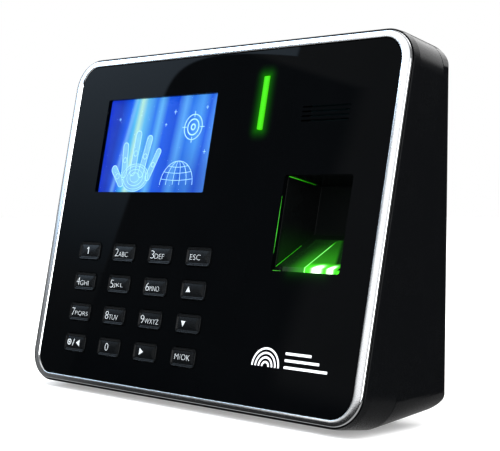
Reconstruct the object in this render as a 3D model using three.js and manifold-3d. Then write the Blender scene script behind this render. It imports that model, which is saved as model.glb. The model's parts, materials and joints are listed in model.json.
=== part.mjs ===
// Fingerprint scanner terminal: a wedge-shaped desk or wall unit with a tilted
// glossy front, a colour display, a 4 x 4 keypad and a recessed optical finger reader.
// Units are millimetres, +Z is up and the front looks along -Y.

import * as THREE from 'three';
import { mergeVertices } from 'three/addons/utils/BufferGeometryUtils.js';
import Module from 'manifold-3d';

const wasm = await Module();
wasm.setup();

// ---------------------------------------------------------------- driving sizes
// The front is tilted: on it x runs to the right, s runs up the slope from the lower
// edge of the lens, and t is the depth behind the lens's front face.

const TILT = THREE.MathUtils.degToRad(12.2);
const GAP = 0.3;
const OVERCUT = 5;

const LENS_WIDTH = 173;
const LENS_HEIGHT = 130.1;
const LENS_CORNER = 9;
const LENS_THICK = 1.8;

const RING_SIDE = 4.1;
const RING_TOP = 2.5;
const RING_BOTTOM = 2.4;
const RING_CORNER = 12;
const RING_PROUD = 0.35;
const RING_CHAMFER = 0.9;

const LIP = 0.5;
const CASING_CORNER = 14;
const CASING_FRONT = 0.85;
const CASING_BEVEL = 0.3;
const CASING_BEVEL_DEPTH = 2.85;
const FACE_FRONT = LENS_THICK + GAP;
const FACE_THICK = 2.2;
const FACE_REAR = FACE_FRONT + FACE_THICK;
const SLAB_REAR = 16.6;
const WALL = 2.5;

// The underside rises behind the lower edge, first over the slab and more steeply over
// the wedge behind it; the top edge stays square to the front.
const SLAB_DRAFT = THREE.MathUtils.degToRad(4.8);
const WEDGE_DRAFT = THREE.MathUtils.degToRad(18);

const BACK_Y = 47.3;
const BACK_SIDE_TAPER = 0.5;
const BACK_EDGE = 3.6;
const BACK_TOP_EDGE = 2;
const BACK_BOTTOM_EDGE = 7;

const SCREEN = { x: -33.9, s: 95.8, width: 65.2, height: 38.2 };
const LCD_WIDTH = 76;
const LCD_HEIGHT = 48;
const LCD_REAR = 5.6;
const LCD_GLASS_REAR = 3.3;
const LCD_RIM = 1.2;

const LIGHT_BAR = { x: 24.2, s: 110, width: 2.8, height: 20 };
const LIGHT_BAR_REAR = 5.4;

const SPEAKER = { x: 55.7, s: 104.9 };
const SPEAKER_SLOT_WIDTH = 22.4;
const SPEAKER_SLOT_HEIGHT = 0.6;
const SPEAKER_SLOT_PITCH = 1.67;
const SPEAKER_SLOTS = 4;
const SPEAKER_RADIUS = 13.5;

const KEY_WIDTH = 13.4;
const KEY_HEIGHT = 7.15;
const KEY_CORNER = 1.5;
const KEY_PROUD = 0.6;
const KEY_COLUMN_PITCH = 21.95;
const KEY_ROW_PITCH = 12.7;
const KEY_FIRST_X = -63.15;
const KEY_FIRST_S = 51.75;
const KEY_FLANGE = 0.8;
const KEY_REAR = 5.2;
const KEY_TRAVEL = 0.8;
const KEY_NAMES = [
  ['key_1', 'key_2', 'key_3', 'key_escape'],
  ['key_4', 'key_5', 'key_6', 'key_up'],
  ['key_7', 'key_8', 'key_9', 'key_down'],
  ['key_left', 'key_0', 'key_right', 'key_menu'],
];

const WELL = { left: 40.7, right: 72.9, bottom: 48.4, top: 82.9 };
const WELL_CORNER = 1;
const WELL_WALL = 1.5;
const WELL_DEPTH = 20;
const RAMP_ANGLE = THREE.MathUtils.degToRad(39.5);
const RAMP_STEP = 1.7;
const RAMP_LENGTH = (WELL_DEPTH - FACE_FRONT) / Math.cos(RAMP_ANGLE);
const PRISM_WIDTH = 25.4;
const PRISM_LENGTH = 20;

const BOARD_THICK = 1.6;
const MAIN_BOARD_FRONT = 8;
const MAIN_BOARD = { left: -74, right: 34, bottom: 6, top: 122 };

const IO_BOARD_Y = 22;
const BAY = { left: -40, right: 52, bottom: 13, top: 36 };
const BAY_FLOOR_Y = 37.4;
const PORT_Z = 24;

const PLATE = { left: -70, right: 70, bottom: 8.5, top: 112, thick: 1.5 };
const PLATE_RECESS = 1.6;
const PLATE_PROUD = 0.3;

const SCREW_X = 80;
const SCREW_LOW_Z = 15;
const SCREW_HIGH_Z = 108;
const BOSS_RADIUS = 3.4;

const FOOT_X = 58;
const FOOT_FRONT_Y = 22.5;
const FOOT_REAR_Y = 39.5;
const FOOT_RADIUS = 4.5;
const FOOT_CLEARANCE = 0.6;
const FOOT_RECESS = 1.1;

const ARC_STEPS = 7;
const SMALL_ARC_STEPS = 1;
const ROUND_STEPS = 24;

// ---------------------------------------------------------------- materials

function plastic(color, roughness) {
  return new THREE.MeshStandardMaterial({ color, roughness, metalness: 0 });
}

function metal(color, roughness) {
  return new THREE.MeshStandardMaterial({ color, roughness, metalness: 1 });
}

const MATERIALS = {
  acrylic: plastic(0x050608, 0.06),
  chrome: metal(0xd6d9dc, 0.18),
  casing: plastic(0x08090a, 0.22),
  key: plastic(0x0b0c0e, 0.25),
  well: plastic(0x060708, 0.15),
  display: plastic(0x1b5fc8, 0.1),
  window: plastic(0x10151c, 0.04),
  guide: plastic(0x7dff2a, 0.3),
  prism: plastic(0x2fbf1a, 0.05),
  board: plastic(0x14603a, 0.5),
  silicone: plastic(0x55585c, 0.8),
  steel: metal(0xa8abae, 0.4),
  screw: metal(0x8d9094, 0.35),
  rubber: plastic(0x141414, 0.9),
  battery: plastic(0x2f5f9e, 0.5),
  terminal: plastic(0x1f8a4c, 0.5),
  ribbon: plastic(0xd8d4c6, 0.6),
  cone: plastic(0x1c1c1e, 0.8),
  brass: metal(0xc9a548, 0.35),
};

// ---------------------------------------------------------------- shape helpers

function solidOf(geometry) {
  const bare = geometry.clone();
  bare.deleteAttribute('normal');
  bare.deleteAttribute('uv');
  const merged = mergeVertices(bare, 1e-4);
  const vertProperties = new Float32Array(merged.attributes.position.array);
  const triVerts = new Uint32Array(merged.index.array);
  const mesh = new wasm.Mesh({ numProp: 3, vertProperties, triVerts });
  mesh.merge();
  return new wasm.Manifold(mesh);
}

function geometryOf(solid) {
  const mesh = solid.getMesh();
  const geometry = new THREE.BufferGeometry();
  geometry.setAttribute('position', new THREE.BufferAttribute(mesh.vertProperties, 3));
  geometry.setIndex(new THREE.BufferAttribute(mesh.triVerts, 1));
  geometry.computeVertexNormals();
  return geometry;
}

function join(base, ...others) {
  return others.reduce((result, other) => result.add(solidOf(other)), base);
}

function cut(base, ...others) {
  return others.reduce((result, other) => result.subtract(solidOf(other)), base);
}

function roundedRect(left, bottom, right, top, radius) {
  const shape = new THREE.Shape();
  shape.absarc(right - radius, bottom + radius, radius, -Math.PI / 2, 0, false);
  shape.absarc(right - radius, top - radius, radius, 0, Math.PI / 2, false);
  shape.absarc(left + radius, top - radius, radius, Math.PI / 2, Math.PI, false);
  shape.absarc(left + radius, bottom + radius, radius, Math.PI, 1.5 * Math.PI, false);
  shape.closePath();
  return shape;
}

// A small outline with its corners cut into a few straight steps.
function coarse(shape, steps = SMALL_ARC_STEPS) {
  return new THREE.Shape(shape.getPoints(steps));
}

function centredRect(x, s, width, height, radius) {
  return roundedRect(x - width / 2, s - height / 2, x + width / 2, s + height / 2, radius);
}

// A slab of the front between two depths behind the lens face.
function slab(shape, front, rear, curveSegments = ARC_STEPS) {
  const geometry = new THREE.ExtrudeGeometry(shape, {
    depth: rear - front,
    bevelEnabled: false,
    curveSegments,
  });
  return geometry.translate(0, 0, -rear);
}

function block(left, right, low, high, near, far) {
  const geometry = new THREE.BoxGeometry(right - left, high - low, far - near);
  return geometry.translate((left + right) / 2, (low + high) / 2, (near + far) / 2);
}

// A block in body axes, from its lowest corner to its highest.
function bodyBlock(x, y, z) {
  return block(x[0], x[1], y[0], y[1], z[0], z[1]);
}

function rodAlongY(x, z, radius, y0, y1, steps = ROUND_STEPS) {
  const geometry = new THREE.CylinderGeometry(radius, radius, y1 - y0, steps);
  return geometry.translate(x, (y0 + y1) / 2, z);
}

function rodAlongZ(x, y, radius, z0, z1, steps = ROUND_STEPS) {
  const geometry = new THREE.CylinderGeometry(radius, radius, z1 - z0, steps);
  return geometry.rotateX(Math.PI / 2).translate(x, y, (z0 + z1) / 2);
}

// Front pieces are drawn in (x, s, -t); this turns their geometry into body axes.
function tilted(geometry) {
  return geometry.rotateX(Math.PI / 2 - TILT);
}

// Depth and height on the tilted front, as a point (y, z) of the body's side view.
function sidePoint(t, s) {
  const y = t * Math.cos(TILT) + s * Math.sin(TILT);
  const z = s * Math.cos(TILT) - t * Math.sin(TILT);
  return new THREE.Vector2(y, z);
}

// Extrudes a side-view outline of (y, z) points along x.
function alongX(shape, left, right) {
  const geometry = new THREE.ExtrudeGeometry(shape, {
    depth: right - left,
    bevelEnabled: false,
    curveSegments: ARC_STEPS,
  });
  geometry.rotateX(Math.PI / 2).rotateZ(Math.PI / 2);
  return geometry.translate(left, 0, 0);
}

function outlineOf(points) {
  return new THREE.Shape(points);
}

// ---------------------------------------------------------------- front outlines

const HALF_LENS = LENS_WIDTH / 2;
const RING = {
  left: -HALF_LENS - RING_SIDE,
  right: HALF_LENS + RING_SIDE,
  bottom: -RING_BOTTOM,
  top: LENS_HEIGHT + RING_TOP,
};
const CASING_MARGIN = GAP + LIP + CASING_BEVEL;
const CASING = {
  left: RING.left - CASING_MARGIN,
  right: RING.right + CASING_MARGIN,
  bottom: RING.bottom - CASING_MARGIN,
  top: RING.top + CASING_MARGIN,
};
const CASING_HEIGHT = CASING.top - CASING.bottom;

// How much of the casing's height is left at a depth, measured from its top edge.
function heightShare(t) {
  const slabShare = 1 - Math.tan(SLAB_DRAFT) * Math.min(t, SLAB_REAR) / CASING_HEIGHT;
  const wedgeShare = 1 - Math.tan(WEDGE_DRAFT) * Math.max(t - SLAB_REAR, 0) / CASING_HEIGHT;
  return slabShare * wedgeShare;
}

// Shrinks a front-frame geometry towards the casing's top edge, depth by depth.
function drafted(geometry) {
  const position = geometry.attributes.position;
  for (let index = 0; index < position.count; index += 1) {
    const below = CASING.top - position.getY(index);
    position.setY(index, CASING.top - below * heightShare(-position.getZ(index)));
  }
  return geometry;
}

// The underside's place at a depth, `inset` inside the wall.
function undersideS(t, inset = 0) {
  return CASING.top - (CASING_HEIGHT - inset) * heightShare(t);
}

function rectOf(box, radius, inset = 0) {
  return roundedRect(
    box.left + inset,
    box.bottom + inset,
    box.right - inset,
    box.top - inset,
    radius,
  );
}

function keyCentres() {
  return KEY_NAMES.flatMap((names, row) => names.map((name, column) => ({
    name,
    x: KEY_FIRST_X + column * KEY_COLUMN_PITCH,
    s: KEY_FIRST_S - row * KEY_ROW_PITCH,
  })));
}

function speakerSlots() {
  return Array.from({ length: SPEAKER_SLOTS }, (unused, index) => {
    const s = SPEAKER.s + (index - (SPEAKER_SLOTS - 1) / 2) * SPEAKER_SLOT_PITCH;
    return centredRect(SPEAKER.x, s, SPEAKER_SLOT_WIDTH, SPEAKER_SLOT_HEIGHT, 0.29);
  });
}

// ---------------------------------------------------------------- front pieces

function lensPanel() {
  const outline = roundedRect(
    -HALF_LENS + GAP,
    GAP,
    HALF_LENS - GAP,
    LENS_HEIGHT - GAP,
    LENS_CORNER - GAP,
  );
  const keyHoles = keyCentres().map(({ x, s }) => (
    centredRect(x, s, KEY_WIDTH + 2 * GAP, KEY_HEIGHT + 2 * GAP, KEY_CORNER + GAP)
  ));
  const bar = LIGHT_BAR;
  outline.holes.push(
    centredRect(SCREEN.x, SCREEN.s, SCREEN.width + 2 * GAP, SCREEN.height + 2 * GAP, 0.5),
    centredRect(bar.x, bar.s, bar.width + 2 * GAP, bar.height + 2 * GAP, 0.4),
    rectOf(WELL, WELL_CORNER),
    ...keyHoles,
    ...speakerSlots(),
  );
  outline.holes = outline.holes.map((hole) => coarse(hole));
  return slab(outline, 0, LENS_THICK);
}

function displayWindow() {
  const outline = centredRect(SCREEN.x, SCREEN.s, SCREEN.width, SCREEN.height, 0.4);
  return slab(outline, 0, LENS_THICK, 2);
}

function bezelRing() {
  const depth = LENS_THICK - RING_CHAMFER;
  const outline = rectOf(RING, RING_CORNER - RING_CHAMFER, RING_CHAMFER);
  const body = new THREE.ExtrudeGeometry(outline, {
    depth: depth + RING_PROUD,
    bevelEnabled: true,
    bevelThickness: RING_CHAMFER,
    bevelSize: RING_CHAMFER,
    bevelSegments: 1,
    curveSegments: ARC_STEPS,
  });
  body.translate(0, 0, -LENS_THICK);
  const squareBack = rectOf({
    left: RING.left - OVERCUT,
    right: RING.right + OVERCUT,
    bottom: RING.bottom - OVERCUT,
    top: RING.top + OVERCUT,
  }, 1);
  const opening = roundedRect(-HALF_LENS, 0, HALF_LENS, LENS_HEIGHT, LENS_CORNER);
  const skirt = slab(rectOf(RING, RING_CORNER), 1, LENS_THICK);
  return cut(
    join(solidOf(body), skirt),
    slab(squareBack, LENS_THICK, LENS_THICK + OVERCUT),
    slab(opening, -OVERCUT, LENS_THICK + OVERCUT),
  );
}

// The outer form of the front shell, with a long shallow bevel round its front edge.
function casingSlab() {
  const bevelRear = CASING_FRONT + CASING_BEVEL_DEPTH;
  const outline = rectOf(CASING, CASING_CORNER - CASING_BEVEL, CASING_BEVEL);
  const body = new THREE.ExtrudeGeometry(outline, {
    depth: SLAB_REAR - bevelRear,
    bevelEnabled: true,
    bevelThickness: CASING_BEVEL_DEPTH,
    bevelSize: CASING_BEVEL,
    bevelSegments: 1,
    curveSegments: ARC_STEPS,
  });
  body.translate(0, 0, -SLAB_REAR);
  const band = slab(rectOf(CASING, CASING_CORNER), bevelRear, SLAB_REAR);
  const behind = slab(rectOf(CASING, 2, -OVERCUT), SLAB_REAR, SLAB_REAR + OVERCUT);
  return cut(join(solidOf(drafted(body)), drafted(band)), behind);
}

// The front shell: side walls, the face that backs the lens, and the screw bosses.
function frontCasing() {
  const outer = casingSlab();
  const inner = slab(rectOf(CASING, CASING_CORNER - WALL, WALL), FACE_REAR, SLAB_REAR + OVERCUT);
  const ringSeat = slab(rectOf(RING, RING_CORNER + GAP, -GAP), -OVERCUT, FACE_FRONT);
  const holes = keyCentres().map(({ x, s }) => (
    centredRect(x, s, KEY_WIDTH + 2 * GAP, KEY_HEIGHT + 2 * GAP, KEY_CORNER + GAP)
  ));
  const wellHole = rectOf(WELL, GAP, -WELL_WALL - GAP);
  const bar = LIGHT_BAR;
  holes.push(
    centredRect(SCREEN.x, SCREEN.s, LCD_WIDTH + 2 * GAP, LCD_HEIGHT + 2 * GAP, 1),
    centredRect(bar.x, bar.s, bar.width + 2 * GAP, bar.height + 2 * GAP, 0.4),
    centredRect(SPEAKER.x, SPEAKER.s, SPEAKER_SLOT_WIDTH + 1, 7, 1),
    wellHole,
  );
  const through = holes.map((shape) => slab(shape, 0, FACE_REAR + 1, SMALL_ARC_STEPS));
  const shell = cut(cut(outer, drafted(inner), ringSeat), ...through);
  const bosses = screwPlaces().map(({ x, z, splitY }) => (
    rodAlongY(x, z, BOSS_RADIUS, 0, splitY, 16)
  ));
  const pilots = screwPlaces().map(({ x, z, splitY }) => (
    rodAlongY(x, z, 1.5, splitY - 9, splitY + 1, 12)
  ));
  const behindFace = slab(rectOf(CASING, 2, -OVERCUT), FACE_REAR - 0.5, 60);
  const limit = solidOf(tilted(behindFace));
  const posts = bosses.map((boss) => solidOf(boss).intersect(limit));
  const shellInBody = solidOf(tilted(geometryOf(shell)));
  const joined = posts.reduce((result, post) => result.add(post), shellInBody);
  return cut(joined, ...pilots);
}

function keyCap({ x, s }) {
  const capOutline = centredRect(x, s, KEY_WIDTH, KEY_HEIGHT, KEY_CORNER);
  const flangeWidth = KEY_WIDTH + 2 * KEY_FLANGE;
  const flangeHeight = KEY_HEIGHT + 2 * KEY_FLANGE;
  const flangeOutline = centredRect(x, s, flangeWidth, flangeHeight, 1);
  const cap = slab(capOutline, -KEY_PROUD, KEY_REAR, SMALL_ARC_STEPS);
  const flange = slab(flangeOutline, FACE_REAR + GAP, KEY_REAR, SMALL_ARC_STEPS);
  return join(solidOf(cap), flange);
}

function keypadMembrane() {
  const domeFront = KEY_REAR + KEY_TRAVEL + 0.1;
  const sheetFront = domeFront + 0.5;
  const left = KEY_FIRST_X - KEY_WIDTH / 2 - 3;
  const right = KEY_FIRST_X + 3 * KEY_COLUMN_PITCH + KEY_WIDTH / 2 + 3;
  const top = KEY_FIRST_S + KEY_HEIGHT / 2 + 3;
  const bottom = KEY_FIRST_S - 3 * KEY_ROW_PITCH - KEY_HEIGHT / 2 - 3;
  const outline = roundedRect(left, bottom, right, top, 2);
  const sheet = slab(outline, sheetFront, sheetFront + 1, SMALL_ARC_STEPS);
  const domes = keyCentres().map(({ x, s }) => (
    slab(centredRect(x, s, 9, 4.6, 1.4), domeFront, sheetFront + 0.5, SMALL_ARC_STEPS)
  ));
  return join(solidOf(sheet), ...domes);
}

function lcdTray() {
  const outline = centredRect(SCREEN.x, SCREEN.s, LCD_WIDTH, LCD_HEIGHT, 0.8);
  const outer = slab(outline, FACE_FRONT, LCD_REAR, 2);
  const width = LCD_WIDTH - 2 * LCD_RIM;
  const height = LCD_HEIGHT - 2 * LCD_RIM;
  const opening = centredRect(SCREEN.x, SCREEN.s, width, height, 0.5);
  const pocket = slab(opening, 0, LCD_GLASS_REAR + GAP, 2);
  return cut(solidOf(outer), pocket);
}

function lcdGlass() {
  const width = LCD_WIDTH - 2 * LCD_RIM - 2 * GAP;
  const height = LCD_HEIGHT - 2 * LCD_RIM - 2 * GAP;
  return slab(centredRect(SCREEN.x, SCREEN.s, width, height, 0.4), FACE_FRONT, LCD_GLASS_REAR, 2);
}

function lightGuide() {
  const { x, s, width, height } = LIGHT_BAR;
  const bar = slab(centredRect(x, s, width, height, 0.35), 0, LIGHT_BAR_REAR, 2);
  const footOutline = centredRect(x, s, width + 2, height + 2, 0.5);
  const foot = slab(footOutline, FACE_REAR + GAP, LIGHT_BAR_REAR, 2);
  return join(solidOf(bar), foot);
}

function statusLedBoard() {
  const { x, s, width, height } = LIGHT_BAR;
  const front = LIGHT_BAR_REAR + 1.1;
  const board = slab(centredRect(x, s, width + 5, height + 4, 0.5), front, front + 0.8, 1);
  const leds = [-1, 0, 1].map((step) => (
    slab(centredRect(x, s + step * height / 3, 1.6, 3.2, 0.2), front - 0.8, front + 0.3, 1)
  ));
  return join(solidOf(board), ...leds);
}

// Turns a profile of (radius, depth) points, listed from its rear, about the speaker's axis.
function speakerPiece(profile) {
  const geometry = new THREE.LatheGeometry(profile.reverse(), ROUND_STEPS);
  return geometry.rotateX(-Math.PI / 2).translate(SPEAKER.x, SPEAKER.s, 0);
}

function speakerBasket() {
  const front = FACE_REAR + GAP;
  return speakerPiece([
    new THREE.Vector2(7, front + 5.4),
    new THREE.Vector2(SPEAKER_RADIUS, front + 3),
    new THREE.Vector2(SPEAKER_RADIUS, front),
    new THREE.Vector2(SPEAKER_RADIUS - 1.2, front),
    new THREE.Vector2(SPEAKER_RADIUS - 1.2, front + 2.2),
    new THREE.Vector2(7, front + 4.4),
    new THREE.Vector2(7, front + 5.4),
  ]);
}

function speakerCone() {
  const front = FACE_REAR + GAP + 0.6;
  return speakerPiece([
    new THREE.Vector2(0, front + 2.2),
    new THREE.Vector2(4, front + 2.6),
    new THREE.Vector2(SPEAKER_RADIUS - 1.6, front + 0.8),
    new THREE.Vector2(SPEAKER_RADIUS - 1.6, front),
    new THREE.Vector2(4, front + 1.8),
    new THREE.Vector2(0, front + 1.4),
  ]);
}

function speakerMagnet() {
  const front = FACE_REAR + GAP + 4;
  return speakerPiece([
    new THREE.Vector2(0, front + 4.6),
    new THREE.Vector2(6.6, front + 4.6),
    new THREE.Vector2(6.6, front),
    new THREE.Vector2(0, front),
  ]);
}

// ---------------------------------------------------------------- finger reader

// A point of the ramp's side view: u runs inward along the ramp, w stands on it.
function rampPoint(u, w) {
  const t = FACE_FRONT + u * Math.cos(RAMP_ANGLE) - w * Math.sin(RAMP_ANGLE);
  const s = WELL.bottom + RAMP_STEP + u * Math.sin(RAMP_ANGLE) + w * Math.cos(RAMP_ANGLE);
  return [t, s];
}

function rampOutline(points) {
  return outlineOf(points.map(([u, w]) => sidePoint(...rampPoint(u, w))));
}

function sideOutline(points) {
  return outlineOf(points.map(([t, s]) => sidePoint(t, s)));
}

function wellMiddle() {
  return (WELL.left + WELL.right) / 2;
}

function fingerWell() {
  const rampEnd = rampPoint(RAMP_LENGTH, 0);
  const rampStart = rampPoint(0, 0);
  const under = rampPoint(RAMP_LENGTH, -WELL_WALL);
  const neck = FACE_REAR + GAP;
  const outer = sideOutline([
    [FACE_FRONT, WELL.bottom - WELL_WALL],
    [neck, WELL.bottom - WELL_WALL],
    [neck, under[1] - (under[0] - neck) * Math.tan(RAMP_ANGLE)],
    under,
    [WELL_DEPTH + WELL_WALL, under[1] + 0.6],
    [WELL_DEPTH + WELL_WALL, WELL.top + WELL_WALL],
    [FACE_FRONT, WELL.top + WELL_WALL],
  ]);
  const cavity = sideOutline([
    [FACE_FRONT - 1, rampStart[1]],
    rampStart,
    rampEnd,
    [WELL_DEPTH, WELL.top],
    [FACE_FRONT - 1, WELL.top],
  ]);
  const half = PRISM_WIDTH / 2 + GAP;
  const seat = sideOutline([
    [FACE_FRONT - 1, WELL.bottom - WELL_WALL - 1],
    [FACE_FRONT - 1, rampStart[1] + 1],
    rampStart,
    rampPoint(PRISM_LENGTH + GAP, 0.5),
    rampPoint(PRISM_LENGTH + GAP, -4),
    rampPoint(3, -6),
  ]);
  return cut(
    solidOf(alongX(outer, WELL.left - WELL_WALL, WELL.right + WELL_WALL)),
    alongX(cavity, WELL.left, WELL.right),
    alongX(seat, wellMiddle() - half, wellMiddle() + half),
  );
}

function sensorPrism() {
  const front = FACE_FRONT + GAP;
  const rampStart = rampPoint(0, 0);
  const outline = sideOutline([
    [front, WELL.bottom - WELL_WALL + 0.2],
    [front, rampStart[1] + GAP * Math.tan(RAMP_ANGLE)],
    rampPoint(PRISM_LENGTH, 0),
    rampPoint(PRISM_LENGTH, -2.4),
    rampPoint(PRISM_LENGTH - 5, -8.5),
    rampPoint(6.5, -8.5),
    [FACE_REAR + 1.2, WELL.bottom - WELL_WALL + 0.2],
  ]);
  return alongX(outline, wellMiddle() - PRISM_WIDTH / 2, wellMiddle() + PRISM_WIDTH / 2);
}

function sensorHolder() {
  const half = PRISM_WIDTH / 2 + GAP;
  const outer = rampOutline([
    [5.5, -3.4],
    [PRISM_LENGTH + 2, -3.4],
    [PRISM_LENGTH + 2, -15],
    [5.5, -15],
  ]);
  const inner = rampOutline([
    [5.5 - 1, -3],
    [PRISM_LENGTH + 0.4, -3],
    [PRISM_LENGTH + 0.4, -13.6],
    [7, -13.6],
    [7, -9.4],
    [5.5 - 1, -9.4],
  ]);
  return cut(
    solidOf(alongX(outer, wellMiddle() - half - 1.5, wellMiddle() + half + 1.5)),
    alongX(inner, wellMiddle() - half, wellMiddle() + half),
  );
}

function sensorCamera() {
  const barrel = new THREE.CylinderGeometry(2.6, 2.6, 2.4, 16);
  const [t, s] = rampPoint(PRISM_LENGTH / 2 + 3, -10.4);
  const centre = sidePoint(t, s);
  barrel.rotateX(Math.PI / 2 + RAMP_ANGLE - TILT);
  return barrel.translate(wellMiddle(), centre.x, centre.y);
}

function sensorBoard() {
  const outline = rampOutline([
    [8, -12],
    [PRISM_LENGTH - 0.4, -12],
    [PRISM_LENGTH - 0.4, -13.2],
    [8, -13.2],
  ]);
  return alongX(outline, wellMiddle() - 11, wellMiddle() + 11);
}

function sensorLedStrip() {
  const outline = rampOutline([[1, -5.4], [4.6, -8.4], [4, -9.1], [0.4, -6.1]]);
  return alongX(outline, wellMiddle() - 11, wellMiddle() + 11);
}

// ---------------------------------------------------------------- rear shell

// Rise of the wedge's underside for each millimetre towards the back.
function undersideSlope() {
  const near = sidePoint(SLAB_REAR, undersideS(SLAB_REAR));
  const far = sidePoint(SLAB_REAR + 30, undersideS(SLAB_REAR + 30));
  return (far.y - near.y) / (far.x - near.x);
}

function parting(s) {
  return sidePoint(SLAB_REAR + GAP, s);
}

function screwPlaces() {
  return [-SCREW_X, SCREW_X].flatMap((x) => [
    { x, z: SCREW_LOW_Z, splitY: 26 },
    { x, z: SCREW_HIGH_Z, splitY: 36 },
  ]);
}

// Rounds the corner at `corner` between its neighbours with a quadratic arc.
function roundCorner(path, before, corner, after, radius) {
  const start = before.clone().sub(corner).setLength(radius).add(corner);
  const end = after.clone().sub(corner).setLength(radius).add(corner);
  path.lineTo(start.x, start.y);
  path.quadraticCurveTo(corner.x, corner.y, end.x, end.y);
}

function rearSide(inset) {
  const lower = parting(undersideS(SLAB_REAR + GAP, inset));
  const upper = parting(CASING.top - inset);
  const back = BACK_Y - inset;
  const backLower = new THREE.Vector2(back, lower.y + (back - lower.x) * undersideSlope());
  const backUpper = new THREE.Vector2(BACK_Y - inset, upper.y - 0.4);
  const shape = new THREE.Shape();
  shape.moveTo(lower.x, lower.y);
  roundCorner(shape, lower, backLower, backUpper, BACK_BOTTOM_EDGE - inset);
  if (inset === 0) {
    roundCorner(shape, backLower, backUpper, upper, BACK_TOP_EDGE);
  } else {
    shape.lineTo(backUpper.x, backUpper.y);
  }
  shape.lineTo(upper.x, upper.y);
  shape.lineTo(upper.x - 60, upper.y + 60 * Math.tan(TILT));
  shape.lineTo(lower.x - 60, lower.y - 60 * undersideSlope());
  shape.closePath();
  return shape;
}

function rearPlan(inset) {
  const half = CASING.right - inset;
  const backHalf = half - BACK_SIDE_TAPER;
  const back = BACK_Y - inset;
  const frontCorner = new THREE.Vector2(half, -10);
  const rearRight = new THREE.Vector2(backHalf, back);
  const rearLeft = new THREE.Vector2(-backHalf, back);
  const shape = new THREE.Shape();
  shape.moveTo(-half, -10);
  shape.lineTo(half, -10);
  roundCorner(shape, frontCorner, rearRight, rearLeft, BACK_EDGE + inset * 0.2);
  roundCorner(shape, rearRight, rearLeft, new THREE.Vector2(-half, -10), BACK_EDGE + inset * 0.2);
  shape.closePath();
  return shape;
}

// The space between two depths with the casing's outline, trimmed to the side view
// and the plan of the back.
function rearVolume(inset, front) {
  const outline = rectOf(CASING, CASING_CORNER - inset, inset);
  const body = solidOf(tilted(drafted(slab(outline, front, front + 60))));
  const side = solidOf(alongX(rearSide(inset), -CASING.right - 1, CASING.right + 1));
  const plan = new THREE.ExtrudeGeometry(rearPlan(inset), {
    depth: 200,
    bevelEnabled: false,
    curveSegments: ARC_STEPS,
  });
  plan.translate(0, 0, -40);
  return body.intersect(side).intersect(solidOf(plan));
}

function plateRecessY() {
  return BACK_Y - PLATE_RECESS;
}

function portHoles() {
  const grow = (range) => [range[0] - GAP, range[1] + GAP];
  const y = [BAY_FLOOR_Y - 4, BAY_FLOOR_Y + 1];
  const boxes = [RJ45, USB, TERMINAL].map((port) => bodyBlock(grow(port.x), y, grow(port.z)));
  const dc = bodyBlock(grow(DC_JACK.x), y, grow(DC_JACK.z));
  const button = rodAlongY(RESET.x, RESET.z, 2, y[0], y[1], 16);
  return [...boxes, dc, button];
}

function rearCasing() {
  const recess = roundedRect(
    PLATE.left - GAP,
    PLATE.bottom - GAP,
    PLATE.right + GAP,
    PLATE.top + GAP,
    3,
  );
  const recessFloor = plateRecessY();
  const recessCut = new THREE.ExtrudeGeometry(recess, {
    depth: 10,
    bevelEnabled: false,
    curveSegments: ARC_STEPS,
  });
  recessCut.rotateX(Math.PI / 2).translate(0, recessFloor + 10, 0);
  const recessBack = bodyBlock(
    [PLATE.left - WALL, PLATE.right + WALL],
    [recessFloor - 2.2, BACK_Y - 1],
    [PLATE.bottom - WALL, PLATE.top + WALL],
  );
  const bayOuter = bodyBlock(
    [BAY.left - 2, BAY.right + 2],
    [BAY_FLOOR_Y - 2, recessFloor - 1],
    [BAY.bottom - 2, BAY.top + 2],
  );
  const bayInner = bodyBlock(
    [BAY.left, BAY.right],
    [BAY_FLOOR_Y, BACK_Y + 5],
    [BAY.bottom, BAY.top],
  );
  const volume = rearVolume(0, SLAB_REAR + GAP);
  const shell = volume.subtract(rearVolume(WALL, SLAB_REAR - 1));
  const backing = volume.intersect(join(solidOf(recessBack), bayOuter));
  const tubes = screwPlaces().map(({ x, z, splitY }) => (
    solidOf(rodAlongY(x, z, BOSS_RADIUS, splitY + GAP, BACK_Y - 1, 16)).intersect(volume)
  ));
  const shanks = screwPlaces().map(({ x, z, splitY }) => (
    rodAlongY(x, z, SHANK_BORE_RADIUS, splitY - 1, BACK_Y + 1, 12)
  ));
  const heads = screwPlaces().map(({ x, z }) => (
    rodAlongY(x, z, HEAD_BORE_RADIUS, SCREW_HEAD_Y - GAP, BACK_Y + 1, 16)
  ));
  const lockBoss = rodAlongZ(0, LOCK_Y, 3.4, lockSeatZ() - 5, PLATE.bottom - 1.2, 16);
  const joined = tubes.reduce((result, tube) => result.add(tube), shell.add(backing));
  const hookSlots = HOOK_X.map((x) => bodyBlock(
    [x - HOOK_WIDTH / 2 - GAP, x + HOOK_WIDTH / 2 + GAP],
    [recessFloor - 5, BACK_Y],
    [HOOK_Z - 4, HOOK_Z + 4],
  ));
  const tabSlot = bodyBlock(
    [-TAB_WIDTH / 2 - GAP, TAB_WIDTH / 2 + GAP],
    [recessFloor - 5, BACK_Y],
    [PLATE.bottom - GAP, PLATE.bottom + PLATE.thick + GAP],
  );
  return cut(
    join(joined, geometryOf(solidOf(lockBoss).intersect(volume))),
    recessCut,
    bayInner,
    ...shanks,
    ...heads,
    ...hookSlots,
    tabSlot,
    ...portHoles(),
    rodAlongZ(0, LOCK_Y, SHANK_BORE_RADIUS, -20, PLATE.bottom, 12),
    rodAlongZ(0, LOCK_Y, HEAD_BORE_RADIUS, -20, lockSeatZ() + GAP, 16),
    rodAlongY(TAMPER.x, TAMPER.z, 2, recessFloor - 5, BACK_Y, 16),
    ...footPlaces().map(({ x, y, top }) => rodAlongZ(x, y, FOOT_RADIUS + GAP, -20, top)),
  );
}

// ---------------------------------------------------------------- back plate and fasteners

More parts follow.
